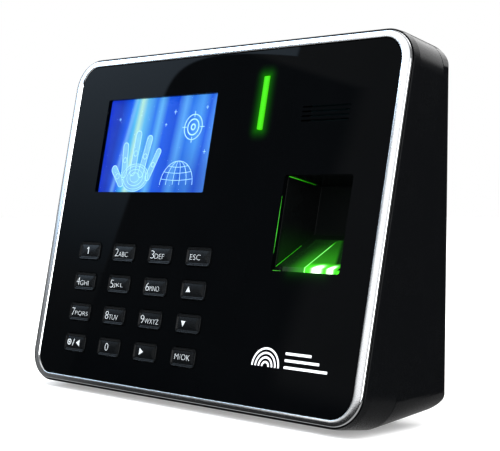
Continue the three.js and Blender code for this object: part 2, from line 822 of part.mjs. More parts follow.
const SCREW_HEAD_Y = BACK_Y - 3;
const SCREW_HEAD_THICK = 2;
const SCREW_HEAD_RADIUS = 2.7;
const SCREW_SHANK_RADIUS = 1.2;
const SHANK_BORE_RADIUS = 1.6;
const HEAD_BORE_RADIUS = 3;
const LOCK_Y = 37;
const HOOK_X = [-52, 52];
const HOOK_Z = 92;
const HOOK_WIDTH = 10;
const TAB_WIDTH = 16;
const PLATE_HOLE_RADIUS = 2.5;
const PLATE_HOLES = [[-60, 54], [60, 54], [-60, 104], [60, 104]];
const CABLE_HOLE = { x: 0, z: 72, width: 46, height: 22 };

// The connectors stand on the rear board and show through the floor of the bay.
const PORT_DEPTH = [IO_BOARD_Y + BOARD_THICK + GAP, BAY_FLOOR_Y + 0.6];
const RJ45 = { x: [-36, -20], y: PORT_DEPTH, z: [16.5, 30.5] };
const USB = { x: [-13, 1.5], y: PORT_DEPTH, z: [20.4, 27.6] };
const DC_JACK = { x: [7, 16], y: PORT_DEPTH, z: [18.5, 29.5] };
const TERMINAL = { x: [22, 42], y: PORT_DEPTH, z: [19, 29] };
const RESET = { x: 47, z: PORT_Z };
const TAMPER = { x: -24, z: 58 };

function wallPlate() {
  const shape = rectOf(PLATE, 2.7);
  PLATE_HOLES.forEach(([x, z]) => {
    const hole = new THREE.Path();
    hole.absarc(x, z, PLATE_HOLE_RADIUS, 0, 2 * Math.PI, false);
    shape.holes.push(hole);
  });
  const { x, z, width, height } = CABLE_HOLE;
  shape.holes.push(centredRect(x, z, width, height, 4));
  shape.holes.push(rectOf(BAY, 2, 0));
  const sheet = new THREE.ExtrudeGeometry(shape, {
    depth: PLATE.thick,
    bevelEnabled: false,
    curveSegments: ARC_STEPS,
  });
  const rear = BACK_Y + PLATE_PROUD;
  const front = rear - PLATE.thick;
  sheet.rotateX(Math.PI / 2).translate(0, rear, 0);
  const hooks = HOOK_X.flatMap((hookX) => {
    const across = [hookX - HOOK_WIDTH / 2, hookX + HOOK_WIDTH / 2];
    return [
      bodyBlock(across, [front - 4.2, front + 0.5], [HOOK_Z - 1, HOOK_Z + 0.5]),
      bodyBlock(across, [front - 4.2, front - 2.9], [HOOK_Z - 1, HOOK_Z + 3.4]),
    ];
  });
  const across = [-TAB_WIDTH / 2, TAB_WIDTH / 2];
  const tab = bodyBlock(across, [LOCK_Y - 4, front + 0.5], [PLATE.bottom, PLATE.bottom + PLATE.thick]);
  const tabHole = rodAlongZ(0, LOCK_Y, SHANK_BORE_RADIUS, PLATE.bottom - 1, PLATE.bottom + 3, 12);
  return cut(join(solidOf(sheet), ...hooks, tab), tabHole);
}

// Where the lock screw's head seats, sunk into the underside.
function lockSeatZ() {
  return undersideZ(LOCK_Y) + SCREW_HEAD_THICK + 0.2;
}

// A pan-head screw standing on +Y with its head at the top.
function screw(length) {
  return new THREE.LatheGeometry([
    new THREE.Vector2(0, -length),
    new THREE.Vector2(SCREW_SHANK_RADIUS * 0.5, -length),
    new THREE.Vector2(SCREW_SHANK_RADIUS, -length + 1.2),
    new THREE.Vector2(SCREW_SHANK_RADIUS, 0),
    new THREE.Vector2(SCREW_HEAD_RADIUS, 0),
    new THREE.Vector2(SCREW_HEAD_RADIUS, SCREW_HEAD_THICK * 0.6),
    new THREE.Vector2(SCREW_HEAD_RADIUS * 0.7, SCREW_HEAD_THICK),
    new THREE.Vector2(0, SCREW_HEAD_THICK),
  ], 16);
}

function foot(top) {
  return new THREE.LatheGeometry([
    new THREE.Vector2(0, footBase()),
    new THREE.Vector2(FOOT_RADIUS - 0.4, footBase()),
    new THREE.Vector2(FOOT_RADIUS, footBase() + 0.4),
    new THREE.Vector2(FOOT_RADIUS, top),
    new THREE.Vector2(0, top),
  ], ROUND_STEPS).rotateX(Math.PI / 2);
}

function footBase() {
  return undersideZ(parting(CASING.bottom).x) - FOOT_CLEARANCE;
}

// The feet stand in shallow round recesses of the underside, `top` being their ceiling.
function footPlaces() {
  return [-FOOT_X, FOOT_X].flatMap((x) => [FOOT_FRONT_Y, FOOT_REAR_Y].map((y) => (
    { x, y, top: undersideZ(y - FOOT_RADIUS) + FOOT_RECESS }
  )));
}

// Height of the wedge's underside at a depth y.
function undersideZ(y) {
  const lower = parting(undersideS(SLAB_REAR + GAP));
  return lower.y + (y - lower.x) * undersideSlope();
}

// ---------------------------------------------------------------- boards and ports

function mainBoard() {
  const front = MAIN_BOARD_FRONT;
  const rear = front + BOARD_THICK;
  const board = slab(rectOf(MAIN_BOARD, 2), front, rear, 2);
  const chips = [
    [-40, 60, 15, 15, 1.4],
    [-15, 66, 11, 18, 1.2],
    [6, 60, 8, 8, 1],
    [-60, 30, 9, 6, 1.2],
    [14, 30, 6, 14, 1.2],
  ].map(([x, s, width, height, thick]) => (
    slab(centredRect(x, s, width, height, 0.3), rear - 0.4, rear + thick, 1)
  ));
  return join(solidOf(board), ...chips);
}

function coinCell() {
  const rear = MAIN_BOARD_FRONT + BOARD_THICK;
  const cell = new THREE.CylinderGeometry(8, 8, 2.6, ROUND_STEPS);
  return cell.rotateX(Math.PI / 2).translate(18, 90, -(rear + GAP + 1.3));
}

function ioBoard() {
  const board = bodyBlock([-42, 54], [IO_BOARD_Y, IO_BOARD_Y + BOARD_THICK], [8, 37.5]);
  const header = bodyBlock([-10, 20], [IO_BOARD_Y + 1, IO_BOARD_Y + 7], [32.5, 36.5]);
  return join(solidOf(board), header);
}

function rj45Jack() {
  const [x0, x1] = RJ45.x;
  const [z0, z1] = RJ45.z;
  const mouth = bodyBlock([x0 + 2, x1 - 2], [RJ45.y[1] - 11, RJ45.y[1] + 1], [z0 + 3.6, z1 - 2.4]);
  const latch = bodyBlock([x0 + 5, x1 - 5], [RJ45.y[1] - 8, RJ45.y[1] + 1], [z0 + 1.4, z0 + 5]);
  return cut(solidOf(bodyBlock(RJ45.x, RJ45.y, RJ45.z)), mouth, latch);
}

function usbSocket() {
  const inset = (range, step) => [range[0] + step, range[1] - step];
  const mouth = bodyBlock(inset(USB.x, 0.7), [USB.y[1] - 10, USB.y[1] + 1], inset(USB.z, 0.7));
  return cut(solidOf(bodyBlock(USB.x, USB.y, USB.z)), mouth);
}

function usbTongue() {
  const x = [USB.x[0] + 1.4, USB.x[1] - 1.4];
  return bodyBlock(x, [USB.y[1] - 9.6, USB.y[1] - 1], [PORT_Z + 0.3, PORT_Z + 2.2]);
}

function dcJack() {
  const middle = (DC_JACK.x[0] + DC_JACK.x[1]) / 2;
  const bore = rodAlongY(middle, PORT_Z, 3.1, DC_JACK.y[1] - 9, DC_JACK.y[1] + 1, ROUND_STEPS);
  return cut(solidOf(bodyBlock(DC_JACK.x, DC_JACK.y, DC_JACK.z)), bore);
}

function dcPin() {
  const middle = (DC_JACK.x[0] + DC_JACK.x[1]) / 2;
  return rodAlongY(middle, PORT_Z, 1, DC_JACK.y[1] - 8.6, DC_JACK.y[1] - 1, 12);
}

function terminalBlock() {
  const ways = 4;
  const pitch = (TERMINAL.x[1] - TERMINAL.x[0]) / ways;
  const wells = Array.from({ length: ways }, (unused, index) => {
    const x = TERMINAL.x[0] + (index + 0.5) * pitch;
    return [
      bodyBlock([x - 1.6, x + 1.6], [TERMINAL.y[1] - 6, TERMINAL.y[1] + 1], [20.4, 23.6]),
      rodAlongY(x, 26.6, 1.4, TERMINAL.y[1] - 2, TERMINAL.y[1] + 1, 12),
    ];
  });
  return cut(solidOf(bodyBlock(TERMINAL.x, TERMINAL.y, TERMINAL.z)), ...wells.flat());
}

function resetSwitch() {
  const y = IO_BOARD_Y + BOARD_THICK + GAP;
  return bodyBlock([RESET.x - 3, RESET.x + 3], [y, y + 3.4], [RESET.z - 3, RESET.z + 3]);
}

function resetButton() {
  return rodAlongY(RESET.x, RESET.z, 1.6, IO_BOARD_Y + BOARD_THICK + 5, BAY_FLOOR_Y + 0.4, 16);
}

function tamperSwitch() {
  return bodyBlock([TAMPER.x - 4, TAMPER.x + 4], [34.5, 40.5], [TAMPER.z - 3.4, TAMPER.z + 3.4]);
}

function tamperPlunger() {
  return rodAlongY(TAMPER.x, TAMPER.z, 1.6, 42, BACK_Y + PLATE_PROUD - PLATE.thick - GAP, 16);
}

function batteryPack() {
  return bodyBlock([-70, -32], [34.6, 41.6], [62, 88]);
}

function sensorRibbon() {
  const rear = MAIN_BOARD_FRONT + BOARD_THICK;
  const curve = new THREE.CatmullRomCurve3([
    new THREE.Vector3(29, 46, -(rear + 0.7)),
    new THREE.Vector3(33, 46, -(rear + 1.2)),
    new THREE.Vector3(37, 46, -(rear + 2.6)),
    new THREE.Vector3(40.6, 46, -(rear + 4.2)),
  ]);
  const section = new THREE.Shape([
    new THREE.Vector2(-3, -0.15),
    new THREE.Vector2(3, -0.15),
    new THREE.Vector2(3, 0.15),
    new THREE.Vector2(-3, 0.15),
  ]);
  return new THREE.ExtrudeGeometry(section, { steps: 12, extrudePath: curve, bevelEnabled: false });
}

// ---------------------------------------------------------------- assembly

const model = new THREE.Group();
const front = new THREE.Group();
front.rotation.x = Math.PI / 2 - TILT;
model.add(front);

function place(group, name, shape, material) {
  const geometry = shape.isBufferGeometry ? shape : geometryOf(shape);
  const mesh = new THREE.Mesh(geometry, material);
  mesh.name = name;
  group.add(mesh);
  return mesh;
}

place(front, 'lens_panel', lensPanel(), MATERIALS.acrylic);
place(front, 'display_window', displayWindow(), MATERIALS.window);
place(front, 'bezel_ring', bezelRing(), MATERIALS.chrome);
place(model, 'front_casing', frontCasing(), MATERIALS.casing);
place(model, 'rear_casing', rearCasing(), MATERIALS.casing);
place(front, 'lcd_tray', lcdTray(), MATERIALS.steel);
place(front, 'lcd_glass', lcdGlass(), MATERIALS.display);
place(front, 'light_guide', lightGuide(), MATERIALS.guide);
place(front, 'status_led_board', statusLedBoard(), MATERIALS.board);
place(front, 'speaker_basket', speakerBasket(), MATERIALS.steel);
place(front, 'speaker_cone', speakerCone(), MATERIALS.cone);
place(front, 'speaker_magnet', speakerMagnet(), MATERIALS.steel);
place(model, 'finger_well', fingerWell(), MATERIALS.well);
place(model, 'sensor_prism', sensorPrism(), MATERIALS.prism);
place(model, 'sensor_holder', sensorHolder(), MATERIALS.casing);
place(model, 'sensor_camera', sensorCamera(), MATERIALS.casing);
place(model, 'sensor_board', sensorBoard(), MATERIALS.board);
place(model, 'sensor_led_strip', sensorLedStrip(), MATERIALS.board);
place(front, 'sensor_ribbon', sensorRibbon(), MATERIALS.ribbon);
place(front, 'keypad_membrane', keypadMembrane(), MATERIALS.silicone);
place(front, 'main_board', mainBoard(), MATERIALS.board);
place(front, 'coin_cell', coinCell(), MATERIALS.steel);
place(model, 'io_board', ioBoard(), MATERIALS.board);
place(model, 'rj45_jack', rj45Jack(), MATERIALS.steel);
place(model, 'usb_socket', usbSocket(), MATERIALS.steel);
place(model, 'usb_tongue', usbTongue(), MATERIALS.casing);
place(model, 'dc_jack', dcJack(), MATERIALS.casing);
place(model, 'dc_pin', dcPin(), MATERIALS.brass);
place(model, 'terminal_block', terminalBlock(), MATERIALS.terminal);
place(model, 'reset_switch', resetSwitch(), MATERIALS.casing);
place(model, 'reset_button', resetButton(), MATERIALS.key);
place(model, 'tamper_switch', tamperSwitch(), MATERIALS.casing);
place(model, 'tamper_plunger', tamperPlunger(), MATERIALS.key);
place(model, 'battery_pack', batteryPack(), MATERIALS.battery);
place(model, 'wall_plate', wallPlate(), MATERIALS.steel);

keyCentres().forEach((key) => place(front, key.name, keyCap(key), MATERIALS.key));

screwPlaces().forEach(({ x, z }, index) => {
  const mesh = place(model, `casing_screw_${index + 1}`, screw(16), MATERIALS.screw);
  mesh.position.set(x, SCREW_HEAD_Y, z);
});

const lockScrew = place(model, 'plate_lock_screw', screw(11), MATERIALS.screw);
lockScrew.rotation.x = -Math.PI / 2;
lockScrew.position.set(0, LOCK_Y, lockSeatZ());

footPlaces().forEach(({ x, y, top }, index) => {
  const mesh = place(model, `rubber_foot_${index + 1}`, foot(top - GAP), MATERIALS.rubber);
  mesh.position.set(x, y, 0);
});

// The origin is the middle of the footprint, on the surface that the feet stand on.
const bounds = new THREE.Box3().setFromObject(model);
const centre = bounds.getCenter(new THREE.Vector3());
model.position.set(-centre.x, -centre.y, -bounds.min.z);

export default model;
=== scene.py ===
"""Looks of a fingerprint scanner terminal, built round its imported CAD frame.

Everything is in metres in the frame's own axes. Sizes written here are millimetres, and
the front's pieces are drawn in (x, s, t): x to the right, s up the tilted front from the
lower edge of its opening, and t the depth behind the lens's face.
"""

import json
import math

import bmesh
import bpy
from mathutils import Matrix, Vector


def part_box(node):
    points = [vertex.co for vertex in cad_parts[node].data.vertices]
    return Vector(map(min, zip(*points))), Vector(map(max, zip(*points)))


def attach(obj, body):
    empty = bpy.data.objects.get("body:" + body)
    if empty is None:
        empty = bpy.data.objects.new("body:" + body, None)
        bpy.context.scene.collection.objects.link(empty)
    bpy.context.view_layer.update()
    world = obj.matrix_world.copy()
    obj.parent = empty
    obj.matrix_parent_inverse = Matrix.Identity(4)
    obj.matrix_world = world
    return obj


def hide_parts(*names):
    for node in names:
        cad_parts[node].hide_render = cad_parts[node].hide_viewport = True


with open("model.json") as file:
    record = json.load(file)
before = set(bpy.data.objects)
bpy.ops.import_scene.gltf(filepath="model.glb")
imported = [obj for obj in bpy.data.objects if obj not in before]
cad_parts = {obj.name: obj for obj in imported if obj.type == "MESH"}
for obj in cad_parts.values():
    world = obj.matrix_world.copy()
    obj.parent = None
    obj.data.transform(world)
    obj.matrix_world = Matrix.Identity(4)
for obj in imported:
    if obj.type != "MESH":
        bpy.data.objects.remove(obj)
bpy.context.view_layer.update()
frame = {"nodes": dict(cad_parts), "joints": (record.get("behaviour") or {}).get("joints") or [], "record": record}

MM = 0.001
HOUSING = "housing"
RIM_GAP = 0.3
CORNER_STEPS = 16
NOISE_SPREAD = (0.3, 0.7)
UNREFLECTIVE = 1.01

# ------------------------------------------------------------------ the tilted front

INWARD = Vector(next(j["axis"] for j in frame["joints"] if j["name"] == "key_1_press")).normalized()
UPWARD = Vector((0, -INWARD.z, INWARD.y))


def front_box(node, origin=(0, 0)):
    """Lowest and highest (x, s, t) of a CAD node, in millimetres from `origin`, an (s, t) pair."""
    points = [vertex.co for vertex in frame["nodes"][node].data.vertices]
    x = [point.x / MM for point in points]
    s = [point.dot(UPWARD) / MM - origin[0] for point in points]
    t = [point.dot(INWARD) / MM - origin[1] for point in points]
    return Vector((min(x), min(s), min(t))), Vector((max(x), max(s), max(t)))


LENS_LOW = front_box("lens_panel")[0]
ORIGIN_S = LENS_LOW.y - RIM_GAP
ORIGIN_T = LENS_LOW.z
FRONT_ZERO = (ORIGIN_S, ORIGIN_T)


def at(x, s, t):
    """The point at (x, s, t) of the tilted front, in the row frame."""
    return Vector((x * MM, 0, 0)) + UPWARD * ((s + ORIGIN_S) * MM) + INWARD * ((t + ORIGIN_T) * MM)


def face_rect(node, inset=0.0):
    """left, bottom, right, top of a node on the front, drawn in by `inset`."""
    low, high = front_box(node, FRONT_ZERO)
    return (low.x + inset, low.y + inset, high.x - inset, high.y - inset)


# ------------------------------------------------------------------ shader helpers

class Graph:
    """Short calls for building a node tree."""

    def __init__(self, tree):
        self.tree = tree

    def node(self, kind, **settings):
        made = self.tree.nodes.new(kind)
        for name, value in settings.items():
            setattr(made, name, value)
        return made

    def plug(self, value, socket):
        if isinstance(value, bpy.types.NodeSocket):
            self.tree.links.new(value, socket)
        else:
            socket.default_value = value

    def math(self, operation, *values):
        made = self.node("ShaderNodeMath", operation=operation)
        for value, socket in zip(values, made.inputs):
            self.plug(value, socket)
        return made.outputs[0]

    def step(self, value, start, end, low=0.0, high=1.0):
        """A smooth change from low to high as value goes from start to end."""
        made = self.node("ShaderNodeMapRange", interpolation_type="SMOOTHSTEP")
        for item, socket in zip((value, start, end, low, high), made.inputs):
            self.plug(item, socket)
        return made.outputs[0]

    def window(self, value, low, high, soft):
        """1 between low and high, falling to 0 over `soft` outside them."""
        rise = self.step(value, low - soft, low)
        fall = self.step(value, high, high + soft, 1.0, 0.0)
        return self.math("MULTIPLY", rise, fall)

    def bell(self, value, centre, width):
        """A bump round `centre` of about that half-width."""
        offset = self.math("DIVIDE", self.math("SUBTRACT", value, centre), width)
        square = self.math("MULTIPLY", offset, offset)
        return self.math("EXPONENT", self.math("MULTIPLY", square, -1.0))

    def total(self, *values):
        result = values[0]
        for value in values[1:]:
            result = self.math("ADD", result, value)
        return result

    def product(self, *values):
        result = values[0]
        for value in values[1:]:
            result = self.math("MULTIPLY", result, value)
        return result

    def position(self):
        return self.node("ShaderNodeTexCoord").outputs["Object"]

    def along(self, direction, zero):
        """Millimetres along `direction` from `zero`, read from the object's own coordinates."""
        made = self.node("ShaderNodeVectorMath", operation="DOT_PRODUCT")
        self.plug(self.position(), made.inputs[0])
        made.inputs[1].default_value = direction
        scaled = self.math("MULTIPLY", made.outputs["Value"], 1 / MM)
        return self.math("SUBTRACT", scaled, zero)

    def face_x(self):
        return self.along((1, 0, 0), 0.0)

    def face_s(self):
        return self.along(UPWARD, ORIGIN_S)

    def face_t(self):
        return self.along(INWARD, ORIGIN_T)

    def noise(self, size, detail=2.0, stretch=(1, 1, 1)):
        """Noise whose features are about `size` millimetres across."""
        mapping = self.node("ShaderNodeMapping")
        self.plug(self.position(), mapping.inputs["Vector"])
        mapping.inputs["Scale"].default_value = stretch
        made = self.node("ShaderNodeTexNoise")
        self.plug(mapping.outputs[0], made.inputs["Vector"])
        made.inputs["Scale"].default_value = 1 / (size * MM)
        made.inputs["Detail"].default_value = detail
        return made.outputs["Fac"]

    def blend(self, share, first, second):
        made = self.node("ShaderNodeMix", data_type="RGBA")
        self.plug(share, made.inputs["Factor"])
        self.plug(first, made.inputs["A"])
        self.plug(second, made.inputs["B"])
        return made.outputs["Result"]

    def colours(self, value, stops):
        made = self.node("ShaderNodeValToRGB")
        ramp = made.color_ramp
        while len(ramp.elements) < len(stops):
            ramp.elements.new(0.5)
        for element, (place, colour) in zip(ramp.elements, stops):
            element.position = place
            element.color = (*colour, 1)
        self.plug(value, made.inputs["Fac"])
        return made.outputs["Color"]


def material(name):
    made = bpy.data.materials.new(name)
    made.use_nodes = True
    shader = made.node_tree.nodes["Principled BSDF"]
    return made, Graph(made.node_tree), shader


def raise_grain(graph, shader, height, strength, depth):
    """Turns a height into relief of at most `depth` millimetres."""
    bump = graph.node("ShaderNodeBump")
    bump.inputs["Strength"].default_value = strength
    bump.inputs["Distance"].default_value = depth * MM
    graph.plug(height, bump.inputs["Height"])
    graph.plug(bump.outputs["Normal"], shader.inputs["Normal"])


def roughen(graph, shader, pattern, low, high):
    """Gloss that wanders between two roughnesses as a noise does."""
    graph.plug(graph.step(pattern, *NOISE_SPREAD, low, high), shader.inputs["Roughness"])


def surface(
    name,
    colour,
    roughness,
    metallic=0.0,
    specular=0.5,
    shade=0.82,
    patch=18.0,
    grain=0.35,
    relief=0.012,
    stretch=(1, 1, 1),
    rough_spread=0.06,
    coat=0.0,
):
    """A solid material with slow colour change, uneven gloss and a fine moulded or brushed grain."""
    made, graph, shader = material(name)
    darker = [channel * shade for channel in colour]
    slow = graph.noise(patch, 3.0)
    fine = graph.noise(grain, 3.0, stretch)
    graph.plug(graph.blend(slow, (*darker, 1), (*colour, 1)), shader.inputs["Base Color"])
    low, high = max(roughness - rough_spread, 0.02), roughness + rough_spread
    mixed = graph.math("MULTIPLY_ADD", fine, 0.5, graph.math("MULTIPLY", slow, 0.5))
    roughen(graph, shader, mixed, low, high)
    raise_grain(graph, shader, fine, 0.6, relief)
    shader.inputs["Metallic"].default_value = metallic
    shader.inputs["Specular IOR Level"].default_value = specular
    shader.inputs["Coat Weight"].default_value = coat
    return made


def glow(shader, graph, colour, strength):
    graph.plug(colour, shader.inputs["Emission Color"])
    graph.plug(strength, shader.inputs["Emission Strength"])


# ------------------------------------------------------------------ mesh helpers

def finish_mesh(mesh, made, sharp=32.0):
    mesh.materials.clear()
    mesh.materials.append(made)
    mesh.polygons.foreach_set("use_smooth", [True] * len(mesh.polygons))
    mesh.polygons.foreach_set("material_index", [0] * len(mesh.polygons))
    mesh.set_sharp_from_angle(angle=math.radians(sharp))
    mesh.update()


def piece(name, build, made, body=HOUSING, replaces=(), sharp=32.0):
    """A new mesh object from a bmesh, riding on a body and standing for its CAD nodes."""
    bmesh.ops.remove_doubles(build, verts=build.verts, dist=1e-7)
    bmesh.ops.recalc_face_normals(build, faces=build.faces)
    mesh = bpy.data.meshes.new(name)
    build.to_mesh(mesh)
    build.free()
    finish_mesh(mesh, made, sharp)
    made_object = bpy.data.objects.new(name, mesh)
    bpy.context.scene.collection.objects.link(made_object)
    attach(made_object, body)
    if replaces:
        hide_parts(*replaces)
    return made_object


def refined(name, node, made, edge=0.25, segments=2, body=HOUSING, limit=28.0):
    """A copy of a CAD node with its flats merged and its hard edges rounded."""
    build = bmesh.new()
    build.from_mesh(frame["nodes"][node].data)
    bmesh.ops.remove_doubles(build, verts=build.verts, dist=2e-6)
    bmesh.ops.dissolve_limit(
        build,
        angle_limit=math.radians(0.6),
        verts=build.verts,
        edges=build.edges,
        delimit={"NORMAL"},
    )
    copy = piece(name, build, made, body, (node,))
    if edge:
        bevel = copy.modifiers.new("edges", "BEVEL")
        bevel.width = edge * MM
        bevel.segments = segments
        bevel.limit_method = "ANGLE"
        bevel.angle_limit = math.radians(limit)
        bevel.miter_outer = "MITER_ARC"
        bevel.harden_normals = False
    weighted = copy.modifiers.new("normals", "WEIGHTED_NORMAL")
    weighted.keep_sharp = True
    weighted.weight = 80
    return copy


def rounded_loop(rect, radius, steps=CORNER_STEPS):
    """(x, s) points round a rounded rectangle, anticlockwise."""
    left, bottom, right, top = rect
    centres = (
        (right - radius, top - radius, 0),
        (left + radius, top - radius, 90),
        (left + radius, bottom + radius, 180),
        (right - radius, bottom + radius, 270),
    )
    points = []
    for x, s, start in centres:
        for step in range(steps + 1):
            angle = math.radians(start + 90 * step / steps)
            points.append((x + radius * math.cos(angle), s + radius * math.sin(angle)))
    return points


def add_loop(build, points):
    return [build.verts.new(point) for point in points]


def bridge(build, first, second):
    count = len(first)
    for index in range(count):
        after = (index + 1) % count
        build.faces.new((first[index], first[after], second[after], second[index]))


def inset_rect(rect, amount):
    left, bottom, right, top = rect
    return (left + amount, bottom + amount, right - amount, top - amount)


def between(first, second, share):
    return tuple(a + (b - a) * share for a, b in zip(first, second))


def tube(build, stations, sides=8):
    """A closed tapered rod through (point, radius in millimetres) stations on a straight line."""
    along = (stations[-1][0] - stations[0][0]).normalized()
    across = along.orthogonal().normalized()
    other = along.cross(across)
    rings = []
    for centre, radius in stations:
        ring = []
        for side in range(sides):
            angle = 2 * math.pi * side / sides
            offset = across * math.cos(angle) + other * math.sin(angle)
            ring.append(build.verts.new(centre + offset * radius * MM))
        rings.append(ring)
    for first, second in zip(rings, rings[1:]):
        bridge(build, first, second)
    build.faces.new(rings[0])
    build.faces.new(rings[-1])


def plate(build, outline, rear, front, hole=None):
    """A thin raised figure on the front from an (x, s) outline, with an optional hole."""
    outer = [add_loop(build, [at(x, s, t) for x, s in outline]) for t in (rear, front)]
    bridge(build, outer[0], outer[1])
    if hole is None:
        build.faces.new(outer[0])
        build.faces.new(outer[1])
        return
    inner = [add_loop(build, [at(x, s, t) for x, s in hole]) for t in (rear, front)]
    bridge(build, inner[0], inner[1])
    bridge(build, outer[0], inner[0])
    bridge(build, outer[1], inner[1])


def circle(x, s, radius, steps=48):
    turn = 2 * math.pi / steps
    return [(x + radius * math.cos(turn * i), s + radius * math.sin(turn * i)) for i in range(steps)]


def ribbon(points, width):
    """The outline of a line of that width through (x, s) points, square at its ends."""
    left, right = [], []
    for index, (x, s) in enumerate(points):
        before = points[max(index - 1, 0)]
        after = points[min(index + 1, len(points) - 1)]
        run = Vector((after[0] - before[0], after[1] - before[1])).normalized()
        left.append((x - run.y * width / 2, s + run.x * width / 2))
        right.append((x + run.y * width / 2, s - run.x * width / 2))
    return left + right[::-1]


# ------------------------------------------------------------------ materials

def casing_material():
    return surface(
        "moulded_casing",
        (0.0026, 0.0029, 0.0034),
        0.24,
        specular=0.1,
        shade=0.86,
        patch=30,
        grain=0.28,
        relief=0.01,
    )


def chrome_material():
    """Bright plating with faint brushing along it."""
    made, graph, shader = material("plated_ring")
    brushed = graph.noise(0.5, 3.0, (1, 1, 8))
    slow = graph.noise(14, 2.0)
    dark, light = (0.72, 0.74, 0.76, 1), (0.86, 0.87, 0.885, 1)
    graph.plug(graph.blend(slow, dark, light), shader.inputs["Base Color"])
    roughen(graph, shader, brushed, 0.09, 0.17)
    raise_grain(graph, shader, brushed, 0.25, 0.004)
    shader.inputs["Metallic"].default_value = 1.0
    return made


def distance_outside(graph, x, s, rect):
    """Millimetres from (x, s) to a rectangle, 0 inside it."""
    left, bottom, right, top = rect
    squares = []
    for place, low, high in ((x, left, right), (s, bottom, top)):
        offset = graph.math("ABSOLUTE", graph.math("SUBTRACT", place, (low + high) / 2))
        beyond = graph.math("MAXIMUM", graph.math("SUBTRACT", offset, (high - low) / 2), 0.0)
        squares.append(graph.math("MULTIPLY", beyond, beyond))
    return graph.math("SQRT", graph.total(*squares))


GUIDE_FLANGE = 1.0
HALO_FALL = 0.62
HALO_END = 5.5
HALO_STRENGTH = 0.16
# where green light is painted on the lens below the finger well, standing for the sensor light that spills there
SPILL_RECT = (50.0, 48.6, 66.0, 49.6)
SPILL_FALL = 0.9
SPILL_STRENGTH = 0.05


def lens_material():
    """Polished black acrylic with a faint painted green glow round the status bar and below the well."""
    made, graph, shader = material("polished_lens")
    x, s = graph.face_x(), graph.face_s()
    slow = graph.noise(22, 2.0)
    fine = graph.noise(0.6, 3.0)
    dark, light = (0.0006, 0.0008, 0.001, 1), (0.001, 0.0012, 0.0015, 1)
    graph.plug(graph.blend(slow, dark, light), shader.inputs["Base Color"])
    roughen(graph, shader, fine, 0.0, 0.012)
    shader.inputs["Specular IOR Level"].default_value = 0.02
    # painted light: a green halo round the status bar and a green spill below the well, drawn as emission on the
    # lens
    away = distance_outside(graph, x, s, face_rect("light_guide", GUIDE_FLANGE))
    halo = graph.math("EXPONENT", graph.math("MULTIPLY", away, -HALO_FALL))
    halo = graph.product(halo, graph.step(away, 1.0, HALO_END, 1.0, 0.0), HALO_STRENGTH)
    spilt = distance_outside(graph, x, s, SPILL_RECT)
    spill = graph.product(graph.math("EXPONENT", graph.math("MULTIPLY", spilt, -SPILL_FALL)), SPILL_STRENGTH)
    glow(shader, graph, (0.03, 0.9, 0.0, 1), graph.math("ADD", halo, spill))
    return made


def window_material():
    """The window's glass, which hardly reflects."""
    made, graph, shader = material("clear_window")
    fine = graph.noise(0.6, 2.0)
    shader.inputs["Base Color"].default_value = (0.97, 0.98, 1.0, 1)
    roughen(graph, shader, fine, 0.0, 0.03)
    shader.inputs["Transmission Weight"].default_value = 1.0
    shader.inputs["IOR"].default_value = UNREFLECTIVE
    shader.inputs["Specular IOR Level"].default_value = 0.1
    return made


# the wallpaper's colours from the display's left edge to its right
WALLPAPER = (
    (0.0, (0.0, 0.02, 0.55)),
    (0.08, (0.0, 0.015, 0.42)),
    (0.18, (0.0, 0.09, 0.78)),
    (0.24, (0.08, 0.5, 0.8)),
    (0.28, (0.5, 0.86, 0.66)),
    (0.33, (0.12, 0.5, 0.8)),
    (0.42, (0.02, 0.17, 0.78)),
    (0.47, (0.12, 0.45, 0.85)),
    (0.53, (0.006, 0.09, 0.72)),
    (0.62, (0.0, 0.06, 0.65)),
    (0.69, (0.1, 0.38, 0.85)),
    (0.75, (0.015, 0.16, 0.75)),
    (0.84, (0.07, 0.33, 0.85)),
    (0.91, (0.01, 0.1, 0.72)),
    (1.0, (0.12, 0.4, 0.9)),
)


def display_material():
    """The lit display: a soft blue wallpaper of curtains and pale rays."""
    made, graph, shader = material("lit_display")
    x, s = graph.face_x(), graph.face_s()
    left, bottom, right, top = face_rect("display_window")
    u = graph.math("DIVIDE", graph.math("SUBTRACT", x, left), right - left)
    v = graph.math("DIVIDE", graph.math("SUBTRACT", s, bottom), top - bottom)
    lean = graph.math("MULTIPLY_ADD", v, -0.05, 0.03)
    colour = graph.colours(graph.math("ADD", u, lean), WALLPAPER)
    low_right = graph.product(graph.step(u, 0.45, 0.9), graph.step(v, 0.1, 0.6, 1.0, 0.0), 0.6)
    colour = graph.blend(low_right, colour, (0.0, 0.03, 0.4, 1))
    curtain = graph.bell(graph.math("SUBTRACT", u, graph.math("MULTIPLY", v, 0.12)), 0.12, 0.02)
    colour = graph.blend(graph.math("MULTIPLY", curtain, 0.35), colour, (0.4, 0.8, 1, 1))
    shader.inputs["Base Color"].default_value = (0.01, 0.02, 0.05, 1)
    fine = graph.noise(0.5, 2.0)
    roughen(graph, shader, fine, 0.25, 0.4)
    shader.inputs["IOR"].default_value = UNREFLECTIVE
    glow(shader, graph, colour, 1.0)
    return made


def screen_line_material():
    """Pale lines and figures drawn on the display."""
    made, graph, shader = material("display_figures")
    soft = graph.noise(6, 2.0)
    shader.inputs["Base Color"].default_value = (0.1, 0.2, 0.4, 1)
    roughen(graph, shader, soft, 0.3, 0.45)
    glow(shader, graph, graph.blend(soft, (0.2, 0.55, 0.9, 1), (0.55, 0.85, 0.95, 1)), 0.9)
    shader.inputs["IOR"].default_value = UNREFLECTIVE
    return made


def figure_fill_material():
    made, graph, shader = material("display_fill")
    soft = graph.noise(7, 2.0)
    shader.inputs["Base Color"].default_value = (0.1, 0.2, 0.4, 1)
    roughen(graph, shader, soft, 0.3, 0.45)
    glow(shader, graph, graph.blend(soft, (0.01, 0.09, 0.5, 1), (0.12, 0.4, 0.8, 1)), 0.85)
    shader.inputs["IOR"].default_value = UNREFLECTIVE
    return made


